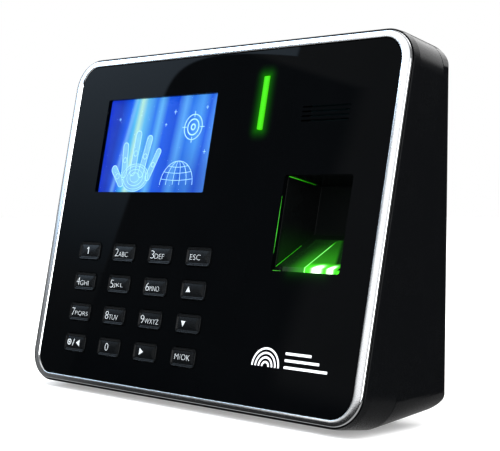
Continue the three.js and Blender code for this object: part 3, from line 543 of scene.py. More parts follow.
def guide_material():
    """The green status bar: brightest along its middle."""
    made, graph, shader = material("lit_guide")
    guide = face_rect("light_guide", GUIDE_FLANGE)
    middle = graph.bell(graph.face_x(), (guide[0] + guide[2]) / 2, 1.3)
    fine = graph.noise(2.5, 3.0)
    strength = graph.total(0.5, graph.math("MULTIPLY", middle, 0.42), graph.math("MULTIPLY", fine, 0.1))
    shader.inputs["Base Color"].default_value = (0.004, 0.05, 0.0, 1)
    shader.inputs["Specular IOR Level"].default_value = 0.05
    roughen(graph, shader, fine, 0.2, 0.35)
    glow(shader, graph, (0.07, 0.9, 0.0, 1), strength)
    return made


# places of the light in the finger well, in (x, s, t)
SEAM_X = 54.67
BEAM_START = 55.3
BEAM_FRONT_EDGE = 70.2
BEAM_SLANT = -0.75
DIM_START = 45.5
DIM_END = 54.6
LAMP_DEPTH = (2.6, 5.6)
LAMP_SPAN = (55.0, 70.2)
LAMPS = ((60.2, 2.5), (66.4, 1.6))
LAMP_SLANT = -0.55
LAMP_SHIFT = 1.3
GREEN = (0.07, 0.95, 0.02, 1)


def well_light(graph):
    """(green, white) brightness of the sensor's light by place in the finger well."""
    x, t = graph.face_x(), graph.face_t()
    seam = graph.product(
        graph.bell(x, SEAM_X, 0.3),
        graph.step(t, 0.2, 1.0),
        graph.step(t, 13.0, 17.6, 1.0, 0.0),
    )
    edge = graph.math("MULTIPLY_ADD", t, BEAM_SLANT, BEAM_FRONT_EDGE)
    beyond = graph.math("SUBTRACT", x, edge)
    beam = graph.product(
        graph.step(x, DIM_END, BEAM_START),
        graph.step(beyond, -1.2, 0.6, 1.0, 0.0),
        graph.step(t, 3.0, 16.0, 0.42, 0.12),
    )
    dim = graph.product(
        graph.step(x, DIM_START, DIM_END),
        graph.step(x, DIM_END, 54.9, 1.0, 0.0),
        graph.step(t, 3.0, 17.0, 0.32, 0.02),
    )
    slanted = graph.math("MULTIPLY_ADD", t, LAMP_SLANT, graph.math("ADD", x, LAMP_SHIFT))
    near = graph.step(t, *LAMP_DEPTH, 1.0, 0.0)
    lamps = graph.math("MAXIMUM", *(graph.bell(slanted, place, width) for place, width in LAMPS))
    hot = graph.product(lamps, near)
    green = graph.total(
        graph.math("MULTIPLY", seam, 1.4),
        graph.math("MULTIPLY", beam, 0.75),
        dim,
        graph.product(graph.window(x, *LAMP_SPAN, 0.8), near, 0.75),
        graph.math("MULTIPLY", hot, 2.0),
        0.004,
    )
    white = graph.total(graph.math("MULTIPLY", hot, 1.3), graph.math("MULTIPLY", seam, 0.5))
    return green, white


def prism_material():
    """The optical prism, with green light and two white lamps drawn on it by emission."""
    made, graph, shader = material("lit_prism")
    green, white = well_light(graph)
    slow = graph.noise(9, 2.0)
    fine = graph.noise(0.5, 3.0)
    dark, light = (0.0028, 0.014, 0.0028, 1), (0.004, 0.02, 0.004, 1)
    graph.plug(graph.blend(slow, dark, light), shader.inputs["Base Color"])
    roughen(graph, shader, fine, 0.12, 0.2)
    shader.inputs["Specular IOR Level"].default_value = 0.25
    tint = graph.blend(graph.step(white, 0.15, 1.0), GREEN, (0.75, 1.0, 0.72, 1))
    glow(shader, graph, tint, green)
    return made


def dark_well_material():
    """The well's glossy black moulding with painted green light spilling on to its walls and a bright band of
    painted green light along its foot.
    """
    made, graph, shader = material("well_moulding")
    x, s, t = graph.face_x(), graph.face_s(), graph.face_t()
    fine = graph.noise(0.4, 3.0)
    slow = graph.noise(8, 2.0)
    dark, light = (0.0015, 0.002, 0.002, 1), (0.003, 0.0035, 0.0035, 1)
    graph.plug(graph.blend(slow, dark, light), shader.inputs["Base Color"])
    roughen(graph, shader, fine, 0.14, 0.24)
    shader.inputs["Specular IOR Level"].default_value = 0.05
    # painted light: a faint green spill on the lower walls and a bright green band at the foot, drawn as emission
    low = graph.step(s, 50.0, 68.0, 1.0, 0.0)
    spill = graph.product(low, graph.step(t, 1.5, 4.0), 0.02)
    foot = graph.product(graph.step(s, 49.4, 50.4, 1.0, 0.0), graph.window(x, 55.0, 70.4, 1.2), 1.6)
    glow(shader, graph, GREEN, graph.total(spill, foot))
    return made


# emission for the rods that stand in for lines of painted light in the finger well
def glow_line_material(name, colour, strength):
    made, graph, shader = material(name)
    soft = graph.noise(3, 2.0)
    shader.inputs["Base Color"].default_value = (0.01, 0.05, 0.01, 1)
    roughen(graph, shader, soft, 0.25, 0.4)
    glow(shader, graph, colour, graph.step(soft, 0.25, 0.75, strength * 0.75, strength))
    return made


def board_material():
    """Green solder mask with rows of tinned pads and traces."""
    made, graph, shader = material("circuit_board")
    slow = graph.noise(10, 2.0)
    mask = graph.blend(slow, (0.004, 0.075, 0.03, 1), (0.007, 0.11, 0.045, 1))
    brick = graph.node("ShaderNodeTexBrick")
    graph.plug(graph.position(), brick.inputs["Vector"])
    brick.inputs["Scale"].default_value = 160
    brick.inputs["Mortar Size"].default_value = 0.012
    brick.inputs["Color1"].default_value = (0, 0, 0, 1)
    brick.inputs["Color2"].default_value = (0.05, 0.05, 0.05, 1)
    brick.inputs["Mortar"].default_value = (1, 1, 1, 1)
    trace = graph.math("MULTIPLY", brick.outputs["Color"], 0.55)
    graph.plug(graph.blend(trace, mask, (0.02, 0.22, 0.09, 1)), shader.inputs["Base Color"])
    roughen(graph, shader, slow, 0.28, 0.42)
    return made


MATERIALS = {
    "acrylic": lens_material(),
    "window": window_material(),
    "chrome": chrome_material(),
    "casing": casing_material(),
    "key": surface("key_cap", (0.0022, 0.0026, 0.003), 0.2, specular=0.1, shade=0.8, patch=8, relief=0.004),
    "well": dark_well_material(),
    "display": display_material(),
    "guide": guide_material(),
    "prism": prism_material(),
    "board": board_material(),
    "silicone": surface("keypad_silicone", (0.1, 0.105, 0.115), 0.6, specular=0.35, grain=0.5, relief=0.02),
    "steel": surface(
        "plated_steel",
        (0.62, 0.63, 0.64),
        0.34,
        1.0,
        shade=0.94,
        grain=0.25,
        relief=0.005,
        stretch=(1, 12, 1),
        rough_spread=0.03,
    ),
    "screw": surface("zinc_screw", (0.5, 0.51, 0.53), 0.28, 1.0, grain=0.2, relief=0.006),
    "rubber": surface("foot_rubber", (0.012, 0.012, 0.0125), 0.75, specular=0.3, grain=0.3, relief=0.03),
    "battery": surface("battery_wrap", (0.03, 0.11, 0.33), 0.35, grain=0.8, relief=0.02, coat=0.3),
    "terminal": surface("terminal_plastic", (0.012, 0.25, 0.075), 0.42, grain=0.3, relief=0.015),
    "ribbon": surface("flat_ribbon", (0.68, 0.65, 0.56), 0.4, grain=0.3, relief=0.02, stretch=(1, 14, 1)),
    "cone": surface("speaker_paper", (0.02, 0.1, 0.12), 0.85, grain=0.4, relief=0.05),
    "brass": surface("brass_pin", (0.75, 0.55, 0.2), 0.25, 1.0, grain=0.2, relief=0.005),
}
PORT_BLACK = surface("port_plastic", (0.012, 0.012, 0.013), 0.4, specular=0.35, shade=0.8, patch=4)
PRINT = surface("printed_white", (0.42, 0.45, 0.47), 0.45, specular=0.3, shade=0.92, patch=5, grain=0.3)
MARK_PRINT = surface("mark_print", (0.8, 0.82, 0.84), 0.4, specular=0.3, shade=0.92, patch=5, grain=0.3)
EMISSIVE_LINE = screen_line_material()
FIGURE_FILL = figure_fill_material()
# colours of the glowing rods that paint lines of light along the finger well's edges
GREEN_EDGE_PAINTED_LIGHT = glow_line_material("green_edge_painted_light", (0.04, 0.9, 0.0, 1), 0.8)
PALE_EDGE_PAINTED_LIGHT = glow_line_material("pale_edge_painted_light", (0.1, 1.0, 0.03, 1), 0.9)
BLUE_EDGE_PAINTED_LIGHT = glow_line_material("blue_edge_painted_light", (0.01, 0.04, 0.25, 1), 0.3)


def dress_frame():
    """Gives every CAD node the material of its slot."""
    for entry in frame["record"]["subparts"]:
        mesh = frame["nodes"][entry["node"]].data
        mesh.materials.clear()
        mesh.materials.append(MATERIALS[entry["material_slot"]])


# ------------------------------------------------------------------ ring, shells and lens

RING_PROFILE = (
    (0.0, 1.8), (0.0, 0.2), (0.02, 0.05), (0.07, -0.25), (0.09, -0.31), (0.12, -0.33), (0.88, -0.15),
    (0.92, -0.12), (0.96, 0.0), (0.985, 0.2), (1.0, 0.5), (1.0, 1.8),
)
LENS_RADIUS = 9.0
RING_RADIUS = 12.0


def plated_ring():
    """The ring lofted round from its inner lip to its outer edge."""
    inner = inset_rect(face_rect("lens_panel"), -RIM_GAP)
    outer = face_rect("bezel_ring")
    inner_loop = rounded_loop(inner, LENS_RADIUS)
    outer_loop = rounded_loop(outer, RING_RADIUS)
    build = bmesh.new()
    loops = []
    for share, t in RING_PROFILE:
        points = [between(a, b, share) for a, b in zip(inner_loop, outer_loop)]
        loops.append(add_loop(build, [at(x, s, t) for x, s in points]))
    for first, second in zip(loops, loops[1:]):
        bridge(build, first, second)
    bridge(build, loops[-1], loops[0])
    piece("ring", build, MATERIALS["chrome"], replaces=("bezel_ring",), sharp=50)


def shells():
    refined("front_shell", "front_casing", MATERIALS["casing"], 0.3, limit=32)
    refined("rear_shell", "rear_casing", MATERIALS["casing"], 0.3, limit=32)
    refined("lens", "lens_panel", MATERIALS["acrylic"], 0.12)
    refined("window_pane", "display_window", MATERIALS["window"], 0.08)
    refined("status_bar", "light_guide", MATERIALS["guide"], 0.1)
    refined("well_moulding", "finger_well", MATERIALS["well"], 0.12)
    refined("hanging_plate", "wall_plate", MATERIALS["steel"], 0.25)
    refined("network_port", "rj45_jack", MATERIALS["steel"], 0.15)
    refined("usb_port", "usb_socket", MATERIALS["steel"], 0.12)
    refined("power_port", "dc_jack", PORT_BLACK, 0.15)
    refined("wire_terminals", "terminal_block", MATERIALS["terminal"], 0.15)
    for index in range(1, 5):
        refined(f"foot_{index}", f"rubber_foot_{index}", MATERIALS["rubber"], 0.3)


# ------------------------------------------------------------------ keys and their legends

CAP_FLANGE = 0.8
CAP_RADIUS = 1.5
CAP_STEPS = 6
LEAST_RADIUS = 0.12
PLUNGER_INSET = 1.2
PLUNGER_RADIUS = 0.6
FLANGE_REAR = 3.1
FLANGE_FRONT = 2.15
# distance in from the cap's edge, and depth, from the flange behind the lens to the cap's middle
CAP_PROFILE = (
    (0.0, 2.15), (0.0, -0.34), (0.05, -0.5), (0.16, -0.6), (0.42, -0.6), (0.5, -0.57), (0.84, -0.3),
    (0.92, -0.27), (1.3, -0.3), (1.9, -0.345), (2.6, -0.38), (3.3, -0.4),
)
LEGEND_FRONT = -0.45
LEGEND_REAR = -0.2
LETTER_THINNING = -0.022
LETTERS = {
    "2": "ABC",
    "3": "DEF",
    "4": "GHI",
    "5": "JKL",
    "6": "MNO",
    "7": "PQRS",
    "8": "TUV",
    "9": "WXYZ",
}
LETTER_WIDTHS = {3: 5.5, 4: 8.1}
# words and arrows on the other keys, placed from the cap's left edge and its middle line
WORDS = {
    "0": ("0", (4.2, -1.5, 6.2, 1.5)),
    "escape": ("ESC", (2.1, -1.275, 7.8, 0.775)),
    "menu": ("M/OK", (2.1, -0.975, 10.5, 1.125)),
}
ARROWS = {"up": (3.9, 2.1, 90), "down": (3.9, 2.1, 270), "right": (4.4, 2.3, 0)}
DIGIT_PLACE = (1.3, -1.675, 3.3, 1.425)
LETTERS_LEFT = 3.7
LETTERS_BOTTOM = -1.675
LETTERS_TOP = 0.225
STEM_SHARE = 0.41
STEM_WIDTH = 0.42


def key_cap(node):
    """A raised rim round a slightly domed face, with the flange that holds it behind the lens."""
    flange = face_rect(node)
    cap = inset_rect(flange, CAP_FLANGE)
    rear = front_box(node, FRONT_ZERO)[1].z
    build = bmesh.new()
    plunger = inset_rect(cap, PLUNGER_INSET)
    flange_radius = CAP_RADIUS + CAP_FLANGE
    rings = [
        (plunger, PLUNGER_RADIUS, rear),
        (plunger, PLUNGER_RADIUS, FLANGE_REAR),
        (flange, flange_radius, FLANGE_REAR),
        (flange, flange_radius, FLANGE_FRONT),
    ]
    for inset, t in CAP_PROFILE:
        rings.append((inset_rect(cap, inset), max(CAP_RADIUS - inset, LEAST_RADIUS), t))
    loops = []
    for rect, radius, t in rings:
        outline = rounded_loop(rect, radius, CAP_STEPS)
        loops.append(add_loop(build, [at(x, s, t) for x, s in outline]))
    for first, second in zip(loops, loops[1:]):
        bridge(build, first, second)
    build.faces.new(loops[0])
    build.faces.new(loops[-1])
    piece(f"cap_{node}", build, MATERIALS["key"], f"{node}_body", (node,), sharp=40)


def flat_text(text):
    """A flat mesh of the lettering, in the built-in font."""
    curve = bpy.data.curves.new("lettering", "FONT")
    curve.body = text
    curve.resolution_u = 5
    curve.offset = LETTER_THINNING
    holder = bpy.data.objects.new("lettering", curve)
    bpy.context.scene.collection.objects.link(holder)
    bpy.context.view_layer.update()
    flat = bpy.data.meshes.new_from_object(holder.evaluated_get(bpy.context.evaluated_depsgraph_get()))
    bpy.data.objects.remove(holder)
    bpy.data.curves.remove(curve)
    return flat


def add_text(build, text, rect):
    """Raised lettering that fills (left, bottom, right, top) on the front."""
    flat = flat_text(text)
    letters = bmesh.new()
    letters.from_mesh(flat)
    bmesh.ops.remove_doubles(letters, verts=letters.verts, dist=1e-5)
    across = [vertex.co.x for vertex in letters.verts]
    up = [vertex.co.y for vertex in letters.verts]
    left, bottom, right, top = rect
    wide = (right - left) / (max(across) - min(across))
    tall = (top - bottom) / (max(up) - min(up))
    for vertex, x, y in zip(letters.verts, across, up):
        vertex.co = at(left + (x - min(across)) * wide, bottom + (y - min(up)) * tall, LEGEND_FRONT)
    raised = bmesh.ops.extrude_face_region(letters, geom=letters.faces[:])
    behind = INWARD * (LEGEND_REAR - LEGEND_FRONT) * MM
    moved = [item for item in raised["geom"] if isinstance(item, bmesh.types.BMVert)]
    bmesh.ops.translate(letters, vec=behind, verts=moved)
    solid = bpy.data.meshes.new("lettering_solid")
    letters.to_mesh(solid)
    letters.free()
    build.from_mesh(solid)
    bpy.data.meshes.remove(flat)
    bpy.data.meshes.remove(solid)


def legend(build, outline, hole=None):
    plate(build, outline, LEGEND_REAR, LEGEND_FRONT, hole)


def triangle(build, x, s, size, heading):
    """A solid arrowhead centred on (x, s) that points along `heading` degrees."""
    corners = []
    for turn, reach in ((0, 0.6), (125, 0.72), (235, 0.72)):
        angle = math.radians(heading + turn)
        corners.append((x + size * reach * math.cos(angle), s + size * reach * math.sin(angle)))
    legend(build, corners)


def one(build, stem, middle):
    """A plain figure one: an upright and its flag."""
    top = (stem, middle + 1.4)
    legend(build, ribbon([(stem, middle - 1.4), (stem, middle + 1.5)], STEM_WIDTH))
    legend(build, ribbon([top, (stem - 0.9, middle + 0.7)], STEM_WIDTH))


def back_sign(build, left, middle):
    """A ringed dot, a stroke and an arrow to the left."""
    ring_x = left + 2.9
    legend(build, circle(ring_x, middle, 1.25, 28), circle(ring_x, middle, 0.85, 28))
    legend(build, circle(ring_x, middle, 0.4, 18))
    legend(build, ribbon([(left + 5.1, middle - 1.4), (left + 6.1, middle + 1.4)], 0.35))
    triangle(build, left + 8.6, middle, 2.3, 180)


def key_print(node):
    """The legend printed on a key."""
    left, bottom, right, top = inset_rect(face_rect(node), CAP_FLANGE)
    middle = (bottom + top) / 2

    def placed(rect):
        return (left + rect[0], middle + rect[1], left + rect[2], middle + rect[3])

    build = bmesh.new()
    name = node.removeprefix("key_")
    if name == "1":
        one(build, left + STEM_SHARE * (right - left) + 0.3, middle)
    elif name in WORDS:
        text, rect = WORDS[name]
        add_text(build, text, placed(rect))
    elif name in LETTERS:
        letters_right = LETTERS_LEFT + LETTER_WIDTHS[len(LETTERS[name])]
        add_text(build, name, placed(DIGIT_PLACE))
        rect = (LETTERS_LEFT, LETTERS_BOTTOM, letters_right, LETTERS_TOP)
        add_text(build, LETTERS[name], placed(rect))
    elif name in ARROWS:
        offset, size, heading = ARROWS[name]
        triangle(build, left + offset, middle, size, heading)
    else:
        back_sign(build, left, middle)
    piece(f"print_{node}", build, PRINT, f"{node}_body", sharp=30)


def keys():
    nodes = [node for node in frame["nodes"] if node.startswith("key_")]
    for node in nodes:
        key_cap(node)
        key_print(node)


# ------------------------------------------------------------------ display figures

FIGURE_REAR = 2.1
FIGURE_FRONT = 2.03
FILL_FRONT = 2.06
FINGER_FRONT = 2.055


def screen_place(u, v):
    """(x, s) from shares of the display's width and height."""
    left, bottom, right, top = face_rect("display_window")
    return (left + u * (right - left), bottom + v * (top - bottom))


def arc(x, s, radius, start, end, steps=24, squeeze=1.0):
    points = []
    for step in range(steps + 1):
        angle = math.radians(start + (end - start) * step / steps)
        points.append((x + radius * squeeze * math.cos(angle), s + radius * math.sin(angle)))
    return points


def figure(build, outline, hole=None):
    plate(build, outline, FIGURE_REAR, FIGURE_FRONT, hole)


def screen_ring(build, x, s, radius, width):
    figure(build, circle(x, s, radius, 40), circle(x, s, radius - width, 40))


def target_icon(build):
    """Three rings crossed by four short ticks."""
    x, s = screen_place(0.8, 0.68)
    for radius, width in ((5.2, 0.35), (3.4, 0.5), (1.4, 0.6)):
        screen_ring(build, x, s, radius, width)
    for quarter in range(4):
        angle = math.radians(90 * quarter)
        start = (x + 3.9 * math.cos(angle), s + 3.9 * math.sin(angle))
        end = (x + 6.3 * math.cos(angle), s + 6.3 * math.sin(angle))
        figure(build, ribbon([start, end], 0.3))


GLOBE_RADIUS = 9.5
GLOBE_STEPS = 16
# how far each meridian is squeezed, and its width, which differs so that none meet exactly
MERIDIANS = ((1.0, 0.22), (0.62, 0.2), (0.2, 0.18))
PARALLELS = (0.25, 0.55, 0.8)


def globe_icon(build):
    """A wire globe standing low on the right, cut by the bottom of the screen."""
    x, s = screen_place(0.72, 0.08)
    floor = screen_place(0, 0.01)[1]
    for squeeze, width in MERIDIANS:
        points = [p for p in arc(x, s, GLOBE_RADIUS, 0, 180, 48, squeeze) if p[1] > floor]
        figure(build, ribbon(points, width))
    for rise in PARALLELS:
        reach = GLOBE_RADIUS * math.sqrt(1 - rise * rise)
        points = []
        for step in range(GLOBE_STEPS + 1):
            share = step / GLOBE_STEPS
            sag = 0.6 * math.sin(math.pi * share)
            points.append((x + reach * (2 * share - 1), s + GLOBE_RADIUS * rise - sag))
        figure(build, ribbon(points, 0.2))


# a plain open hand: each finger's root, tip and width, in shares of the screen's width and height
HAND_FINGERS = (
    ((0.22, 0.2), (0.2, 0.5), 3.0),
    ((0.3, 0.22), (0.31, 0.62), 3.2),
    ((0.38, 0.2), (0.42, 0.57), 3.1),
    ((0.45, 0.16), (0.52, 0.43), 2.7),
    ((0.2, 0.1), (0.12, 0.25), 3.2),
)


def capsule(root, tip, width):
    """(x, s) outline of a rounded finger."""
    direction = (Vector(tip) - Vector(root)).normalized()
    heading = math.degrees(math.atan2(direction.y, direction.x))
    end = arc(tip[0], tip[1], width / 2, heading - 90, heading + 90, 12)
    start = arc(root[0], root[1], width / 2, heading + 90, heading + 270, 12)
    return end + start


PALM_RADIUS = 5.6
PALM_STRETCH = 1.45
SPARKLES = (
    (0.62, 0.85, 0.9),
    (0.9, 0.88, 0.7),
    (0.55, 0.72, 0.6),
    (0.93, 0.42, 0.8),
    (0.1, 0.8, 0.7),
)


def oval(x, s, share):
    return [(x + (px - x) * PALM_STRETCH, ps) for px, ps in circle(x, s, PALM_RADIUS * share, 40)]


def hand_icon(fill, lines):
    """A filled palm and fingers, with rings on the palm and a line round each finger."""
    centre = screen_place(0.33, 0.16)
    plate(fill, oval(*centre, 1.0), FIGURE_REAR, FILL_FRONT)
    for share in (0.35, 0.6, 0.85, 1.0):
        ring = oval(*centre, share)
        figure(lines, ribbon(ring + ring[:1], 0.2))
    for root, tip, width in HAND_FINGERS:
        outline = capsule(screen_place(*root), screen_place(*tip), width)
        plate(fill, outline, FIGURE_REAR, FINGER_FRONT)
        figure(lines, ribbon(outline + outline[:1], 0.28))
        knuckle = between(screen_place(*root), screen_place(*tip), 0.5)
        screen_ring(lines, *knuckle, width / 2.6, 0.2)


def sparkles(build):
    for u, v, size in SPARKLES:
        x, s = screen_place(u, v)
        figure(build, ribbon([(x - size, s), (x + size, s)], 0.16))
        figure(build, ribbon([(x, s - size), (x, s + size)], 0.16))


def display():
    refined("display_panel", "lcd_glass", MATERIALS["display"], 0.1)
    lines = bmesh.new()
    fill = bmesh.new()
    target_icon(lines)
    globe_icon(lines)
    sparkles(lines)
    hand_icon(fill, lines)
    piece("display_figures", lines, EMISSIVE_LINE)
    piece("display_hand", fill, FIGURE_FILL)


# ------------------------------------------------------------------ painted light in the finger well

EDGE_X = 40.8
EDGE_TOP = 82.8
EDGE_FOOT = 48.5


def edge_lines():
    """Glowing rods that paint the thin lines of light where the sensor's glow catches the well's edges."""
    fade = at(EDGE_X, EDGE_TOP, 7.0)
    lines = {
        "well_edge_painted_light_pale": (PALE_EDGE_PAINTED_LIGHT, (
            ((at(EDGE_X, EDGE_TOP, 1.9), 0.08), (fade, 0.08)),
            ((at(EDGE_X, EDGE_FOOT, 0.25), 0.07), (at(45.4, EDGE_FOOT, 0.25), 0.03)),
        )),
        "well_edge_painted_light_green": (GREEN_EDGE_PAINTED_LIGHT, (
            ((fade, 0.08), (at(EDGE_X, EDGE_TOP, 17.0), 0.01)),
            ((at(40.75, 54.6, 0.2), 0.03), (at(40.75, 62.0, 0.2), 0.12), (at(40.75, 75.2, 0.2), 0.03)),
            ((at(40.9, 50.2, 2.2), 0.11), (at(40.9, 59.8, 13.8), 0.04)),
        )),
        "well_edge_painted_light_blue": (BLUE_EDGE_PAINTED_LIGHT, (
            ((at(72.8, 63.0, 0.3), 0.1), (at(72.8, 67.5, 0.3), 0.06)),
        )),
    }
    for name, (made, rods) in lines.items():
        build = bmesh.new()
        for stations in rods:
            tube(build, stations)
        piece(name, build, made, sharp=60)


# ------------------------------------------------------------------ screws

HEAD_SHARE = 0.2
SHANK_SHARE = 0.52
THREAD_SHARE = 0.08
SCREW_TIP = 0.4 * MM
SCREW_TURNS = 14
SCREW_SIDES = 32
# the pan head, as shares of its radius and of its height below the top
HEAD_PROFILE = ((0.96, 1.0), (1.0, 0.85), (1.0, 0.45), (0.9, 0.15), (0.7, 0.0))
MARK_REAR = 0.1
MARK_FRONT = -0.03


def screw_profile(low, high, radius):
    """(radius, y) from a screw's tip at y = low to the top of its pan head at y = high."""
    head = (high - low) * HEAD_SHARE
    shank = radius * SHANK_SHARE
    pitch = (high - low - head - SCREW_TIP) / SCREW_TURNS
    profile = [(shank * 0.6, low)]
    for turn in range(SCREW_TURNS):
        start = low + SCREW_TIP + pitch * turn
        profile.append((shank - radius * THREAD_SHARE, start))
        profile.append((shank, start + pitch / 2))
    profile.append((shank, high - head))
    for reach, drop in HEAD_PROFILE:
        profile.append((radius * reach, high - head * drop))
    return profile


def cross_cutter(x, top, z, radius, depth):
    """Two crossed bars that cut the driver's recess."""
    cutter = bmesh.new()
    for wide, tall in ((0.55, 0.13), (0.13, 0.55)):
        size = Vector((radius * wide * 2, depth, radius * tall * 2))
        place = Matrix.Translation((x, top, z)) @ Matrix.Diagonal((*size, 1))
        bmesh.ops.create_cube(cutter, size=1.0, matrix=place)
    mesh = bpy.data.meshes.new("recess")
    cutter.to_mesh(mesh)
    cutter.free()
    tool = bpy.data.objects.new("recess", mesh)
    bpy.context.scene.collection.objects.link(tool)
    return tool


def carve(made, tool):
    """Cuts `tool` out of a piece and removes it."""
    cut = made.modifiers.new("cross", "BOOLEAN")
    cut.object = tool
    cut.operation = "DIFFERENCE"
    cut.solver = "EXACT"
    cut.use_self = True
    bpy.context.view_layer.update()
    carved = bpy.data.meshes.new_from_object(made.evaluated_get(bpy.context.evaluated_depsgraph_get()))
    made.modifiers.remove(cut)
    recess = tool.data
    bpy.data.objects.remove(tool)
    bpy.data.meshes.remove(recess)
    made.data = carved
    finish_mesh(carved, MATERIALS["screw"], 30)


def screw(node):
    """A pan head with a cross recess on a ringed shank, along the frame's Y axis."""
    low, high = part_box(node)
    x, z = (low.x + high.x) / 2, (low.z + high.z) / 2
    radius = (high.x - low.x) / 2
    build = bmesh.new()
    loops = []
    for reach, y in screw_profile(low.y, high.y, radius):
        loop = []
        for side in range(SCREW_SIDES):
            angle = 2 * math.pi * side / SCREW_SIDES
            loop.append(build.verts.new((x + reach * math.cos(angle), y, z + reach * math.sin(angle))))
        loops.append(loop)
    for first, second in zip(loops, loops[1:]):
        bridge(build, first, second)
    build.faces.new(loops[0])
    build.faces.new(loops[-1])
    made = piece(f"screw_{node}", build, MATERIALS["screw"], replaces=(node,), sharp=30)
    recess_depth = (high.y - low.y) * HEAD_SHARE * 1.3
    carve(made, cross_cutter(x, high.y, z, radius, recess_depth))


MARK_PLACE = (45.0, 14.5)
MARK_ARCHES = (1.6, 3.2, 4.8, 6.4)
MARK_BARS = (20.0, 16.0, 12.0)


def front_mark():
    """A plain mark of nested arches beside three bars, printed low on the lens."""
    x, s = MARK_PLACE
    build = bmesh.new()
    for radius in MARK_ARCHES:
        plate(build, ribbon(arc(x, s, radius, 0, 180, 32), 0.7), MARK_REAR, MARK_FRONT)
    bars_left = x + 9.0
    for row, length in enumerate(MARK_BARS):
        height = s + 0.6 + 2.4 * row
        bar = ribbon([(bars_left, height), (bars_left + length, height)], 0.9)
        plate(build, bar, MARK_REAR, MARK_FRONT)
    piece("front_mark", build, MARK_PRINT, sharp=30)


def screws():
    """The casing screws; the locking screw stands upright and keeps its CAD shape."""
    for node in frame["nodes"]:
        if node.startswith("casing_screw"):
            screw(node)


# ------------------------------------------------------------------ studio

CAMERA_REACH = Vector((0.35873, -0.31567, 0.07676))
CAMERA_YAW = 45.21
CAMERA_PITCH = 4.568
CAMERA_LENS = 92.88
CAMERA_SHIFT = 0.1288


def camera():
    data = bpy.data.cameras.new("camera")
    data.lens = CAMERA_LENS
    data.shift_y = CAMERA_SHIFT
    data.clip_start = 0.01
    data.clip_end = 50
    made = bpy.data.objects.new("camera", data)
    made.location = at(0, 0, 0) + CAMERA_REACH
    made.rotation_euler = (math.radians(90 - CAMERA_PITCH), 0, math.radians(CAMERA_YAW))
    bpy.context.scene.collection.objects.link(made)
    bpy.context.scene.camera = made


# where the soft panels stand round the object: azimuth from the front towards its left, and elevation
GLARE_AZIMUTH = 53.0
GLARE_STRENGTH = 7.5


def lens_glare(graph, azimuth, elevation):
    """The panel on the left whose curved edge shows in the lens."""
    rise = graph.math("MAXIMUM", graph.math("DIVIDE", graph.math("SUBTRACT", elevation, 18.5), 4.0), 0.0)
    rise = graph.math("MINIMUM", rise, 1.12)
    curve = graph.math("MULTIPLY_ADD", graph.math("POWER", rise, 4.0), -3.4, GLARE_AZIMUTH)
    boundary = graph.math("SUBTRACT", azimuth, curve)
    return graph.product(
        graph.step(boundary, -0.1, 0.1),
        graph.step(azimuth, 60, 70, 1.0, 0.0),
        graph.step(elevation, 9.0, 24.0, 0.02, 1.0),
        graph.step(elevation, 30.0, 45.0, 1.0, 0.0),
        GLARE_STRENGTH,
    )


def ring_glare(graph, azimuth, elevation):
    """The panels that whiten the right and top of the ring."""
    right = graph.product(graph.window(azimuth, 28, 43.6, 1.2), graph.window(elevation, 9.6, 32, 1.4))
    top = graph.product(graph.window(azimuth, 28, 60, 3), graph.window(elevation, 22.7, 40, 0.4))
    return graph.product(graph.math("MAXIMUM", right, top), 1.12)


def key_glare(graph, azimuth, elevation):
    """The panel on the right that the dished rims of the keys mirror."""
    return graph.product(graph.window(azimuth, -60, -12, 8), graph.window(elevation, 4, 28, 4), 5.0)


def back_glare(graph, azimuth, elevation):
    """The panel behind the object."""
    behind = graph.math("MAXIMUM", graph.step(azimuth, 140, 160), graph.step(azimuth, -140, -160))
    return graph.product(behind, graph.window(elevation, 22, 50, 5), 3.0)


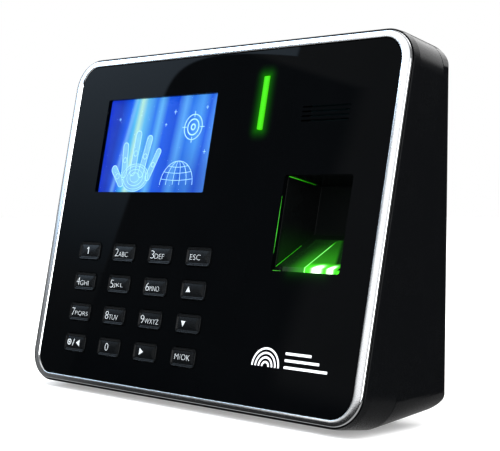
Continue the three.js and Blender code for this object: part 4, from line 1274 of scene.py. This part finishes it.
def studio_world():
    """White behind the object, and soft panels of light round a dim room."""
    world = bpy.data.worlds.new("studio")
    bpy.context.scene.world = world
    world.use_nodes = True
    graph = Graph(world.node_tree)
    background = world.node_tree.nodes["Background"]
    split = graph.node("ShaderNodeSeparateXYZ")
    graph.plug(graph.node("ShaderNodeTexCoord").outputs["Generated"], split.inputs[0])
    x, y, z = split.outputs
    heading = graph.math("ARCTAN2", graph.math("MULTIPLY", x, -1.0), graph.math("MULTIPLY", y, -1.0))
    azimuth = graph.math("MULTIPLY", heading, 180 / math.pi)
    elevation = graph.math("MULTIPLY", graph.math("ARCSINE", z), 180 / math.pi)
    glare = lens_glare(graph, azimuth, elevation)
    light = graph.total(
        graph.step(elevation, 7.0, 9.5, 0.02, 0.2),
        graph.step(elevation, -14.0, -26.0, 0.0, 0.4),
        ring_glare(graph, azimuth, elevation),
        glare,
        key_glare(graph, azimuth, elevation),
        back_glare(graph, azimuth, elevation),
        graph.product(graph.step(elevation, 45, 80), 0.8),
    )
    tint = graph.blend(graph.step(glare, 0.0, 1.0), (1, 1, 1, 1), (0.62, 0.8, 1, 1))
    seen = graph.node("ShaderNodeLightPath").outputs["Is Camera Ray"]
    graph.plug(graph.blend(seen, tint, (1, 1, 1, 1)), background.inputs["Color"])
    unseen = graph.math("MULTIPLY", graph.math("SUBTRACT", 1.0, seen), light)
    graph.plug(graph.math("ADD", seen, unseen), background.inputs["Strength"])


# name, place and size in metres, and power in watts
SOFT_LIGHTS = (
    ("soft_top", (0.4, -0.7, 1.6), 1.8, 42),
    ("soft_left", (-1.3, -0.9, 0.9), 1.2, 16),
    ("soft_back", (0.6, 1.5, 1.1), 1.4, 20),
)


def area_light(name, place, size, power):
    """A soft square light aimed at the object, left out of reflections."""
    data = bpy.data.lights.new(name, "AREA")
    data.size = size
    data.energy = power
    made = bpy.data.objects.new(name, data)
    made.location = place
    made.rotation_euler = (-Vector(place)).to_track_quat("-Z", "Y").to_euler()
    made.visible_glossy = False
    bpy.context.scene.collection.objects.link(made)


def studio_floor():
    """A pale floor, left out of reflections so that the plated ring keeps its dark foot."""
    made, graph, shader = material("pale_floor")
    slow = graph.noise(400, 2.0)
    graph.plug(graph.blend(slow, (0.86, 0.86, 0.86, 1), (0.9, 0.9, 0.9, 1)), shader.inputs["Base Color"])
    roughen(graph, shader, slow, 0.85, 0.95)
    shader.inputs["Specular IOR Level"].default_value = 0.05
    glow(shader, graph, (1, 1, 1, 1), 0.3)
    build = bmesh.new()
    bmesh.ops.create_grid(build, x_segments=8, y_segments=8, size=2.5)
    mesh = bpy.data.meshes.new("floor")
    build.to_mesh(mesh)
    build.free()
    mesh.materials.append(made)
    floor = bpy.data.objects.new("floor", mesh)
    bpy.context.scene.collection.objects.link(floor)
    floor.visible_glossy = False


def studio():
    studio_world()
    studio_floor()
    for name, place, size, power in SOFT_LIGHTS:
        area_light(name, place, size, power)
    bpy.context.scene.view_settings.view_transform = "Standard"
    camera()


dress_frame()
plated_ring()
shells()
keys()
display()
edge_lines()
front_mark()
screws()
studio()
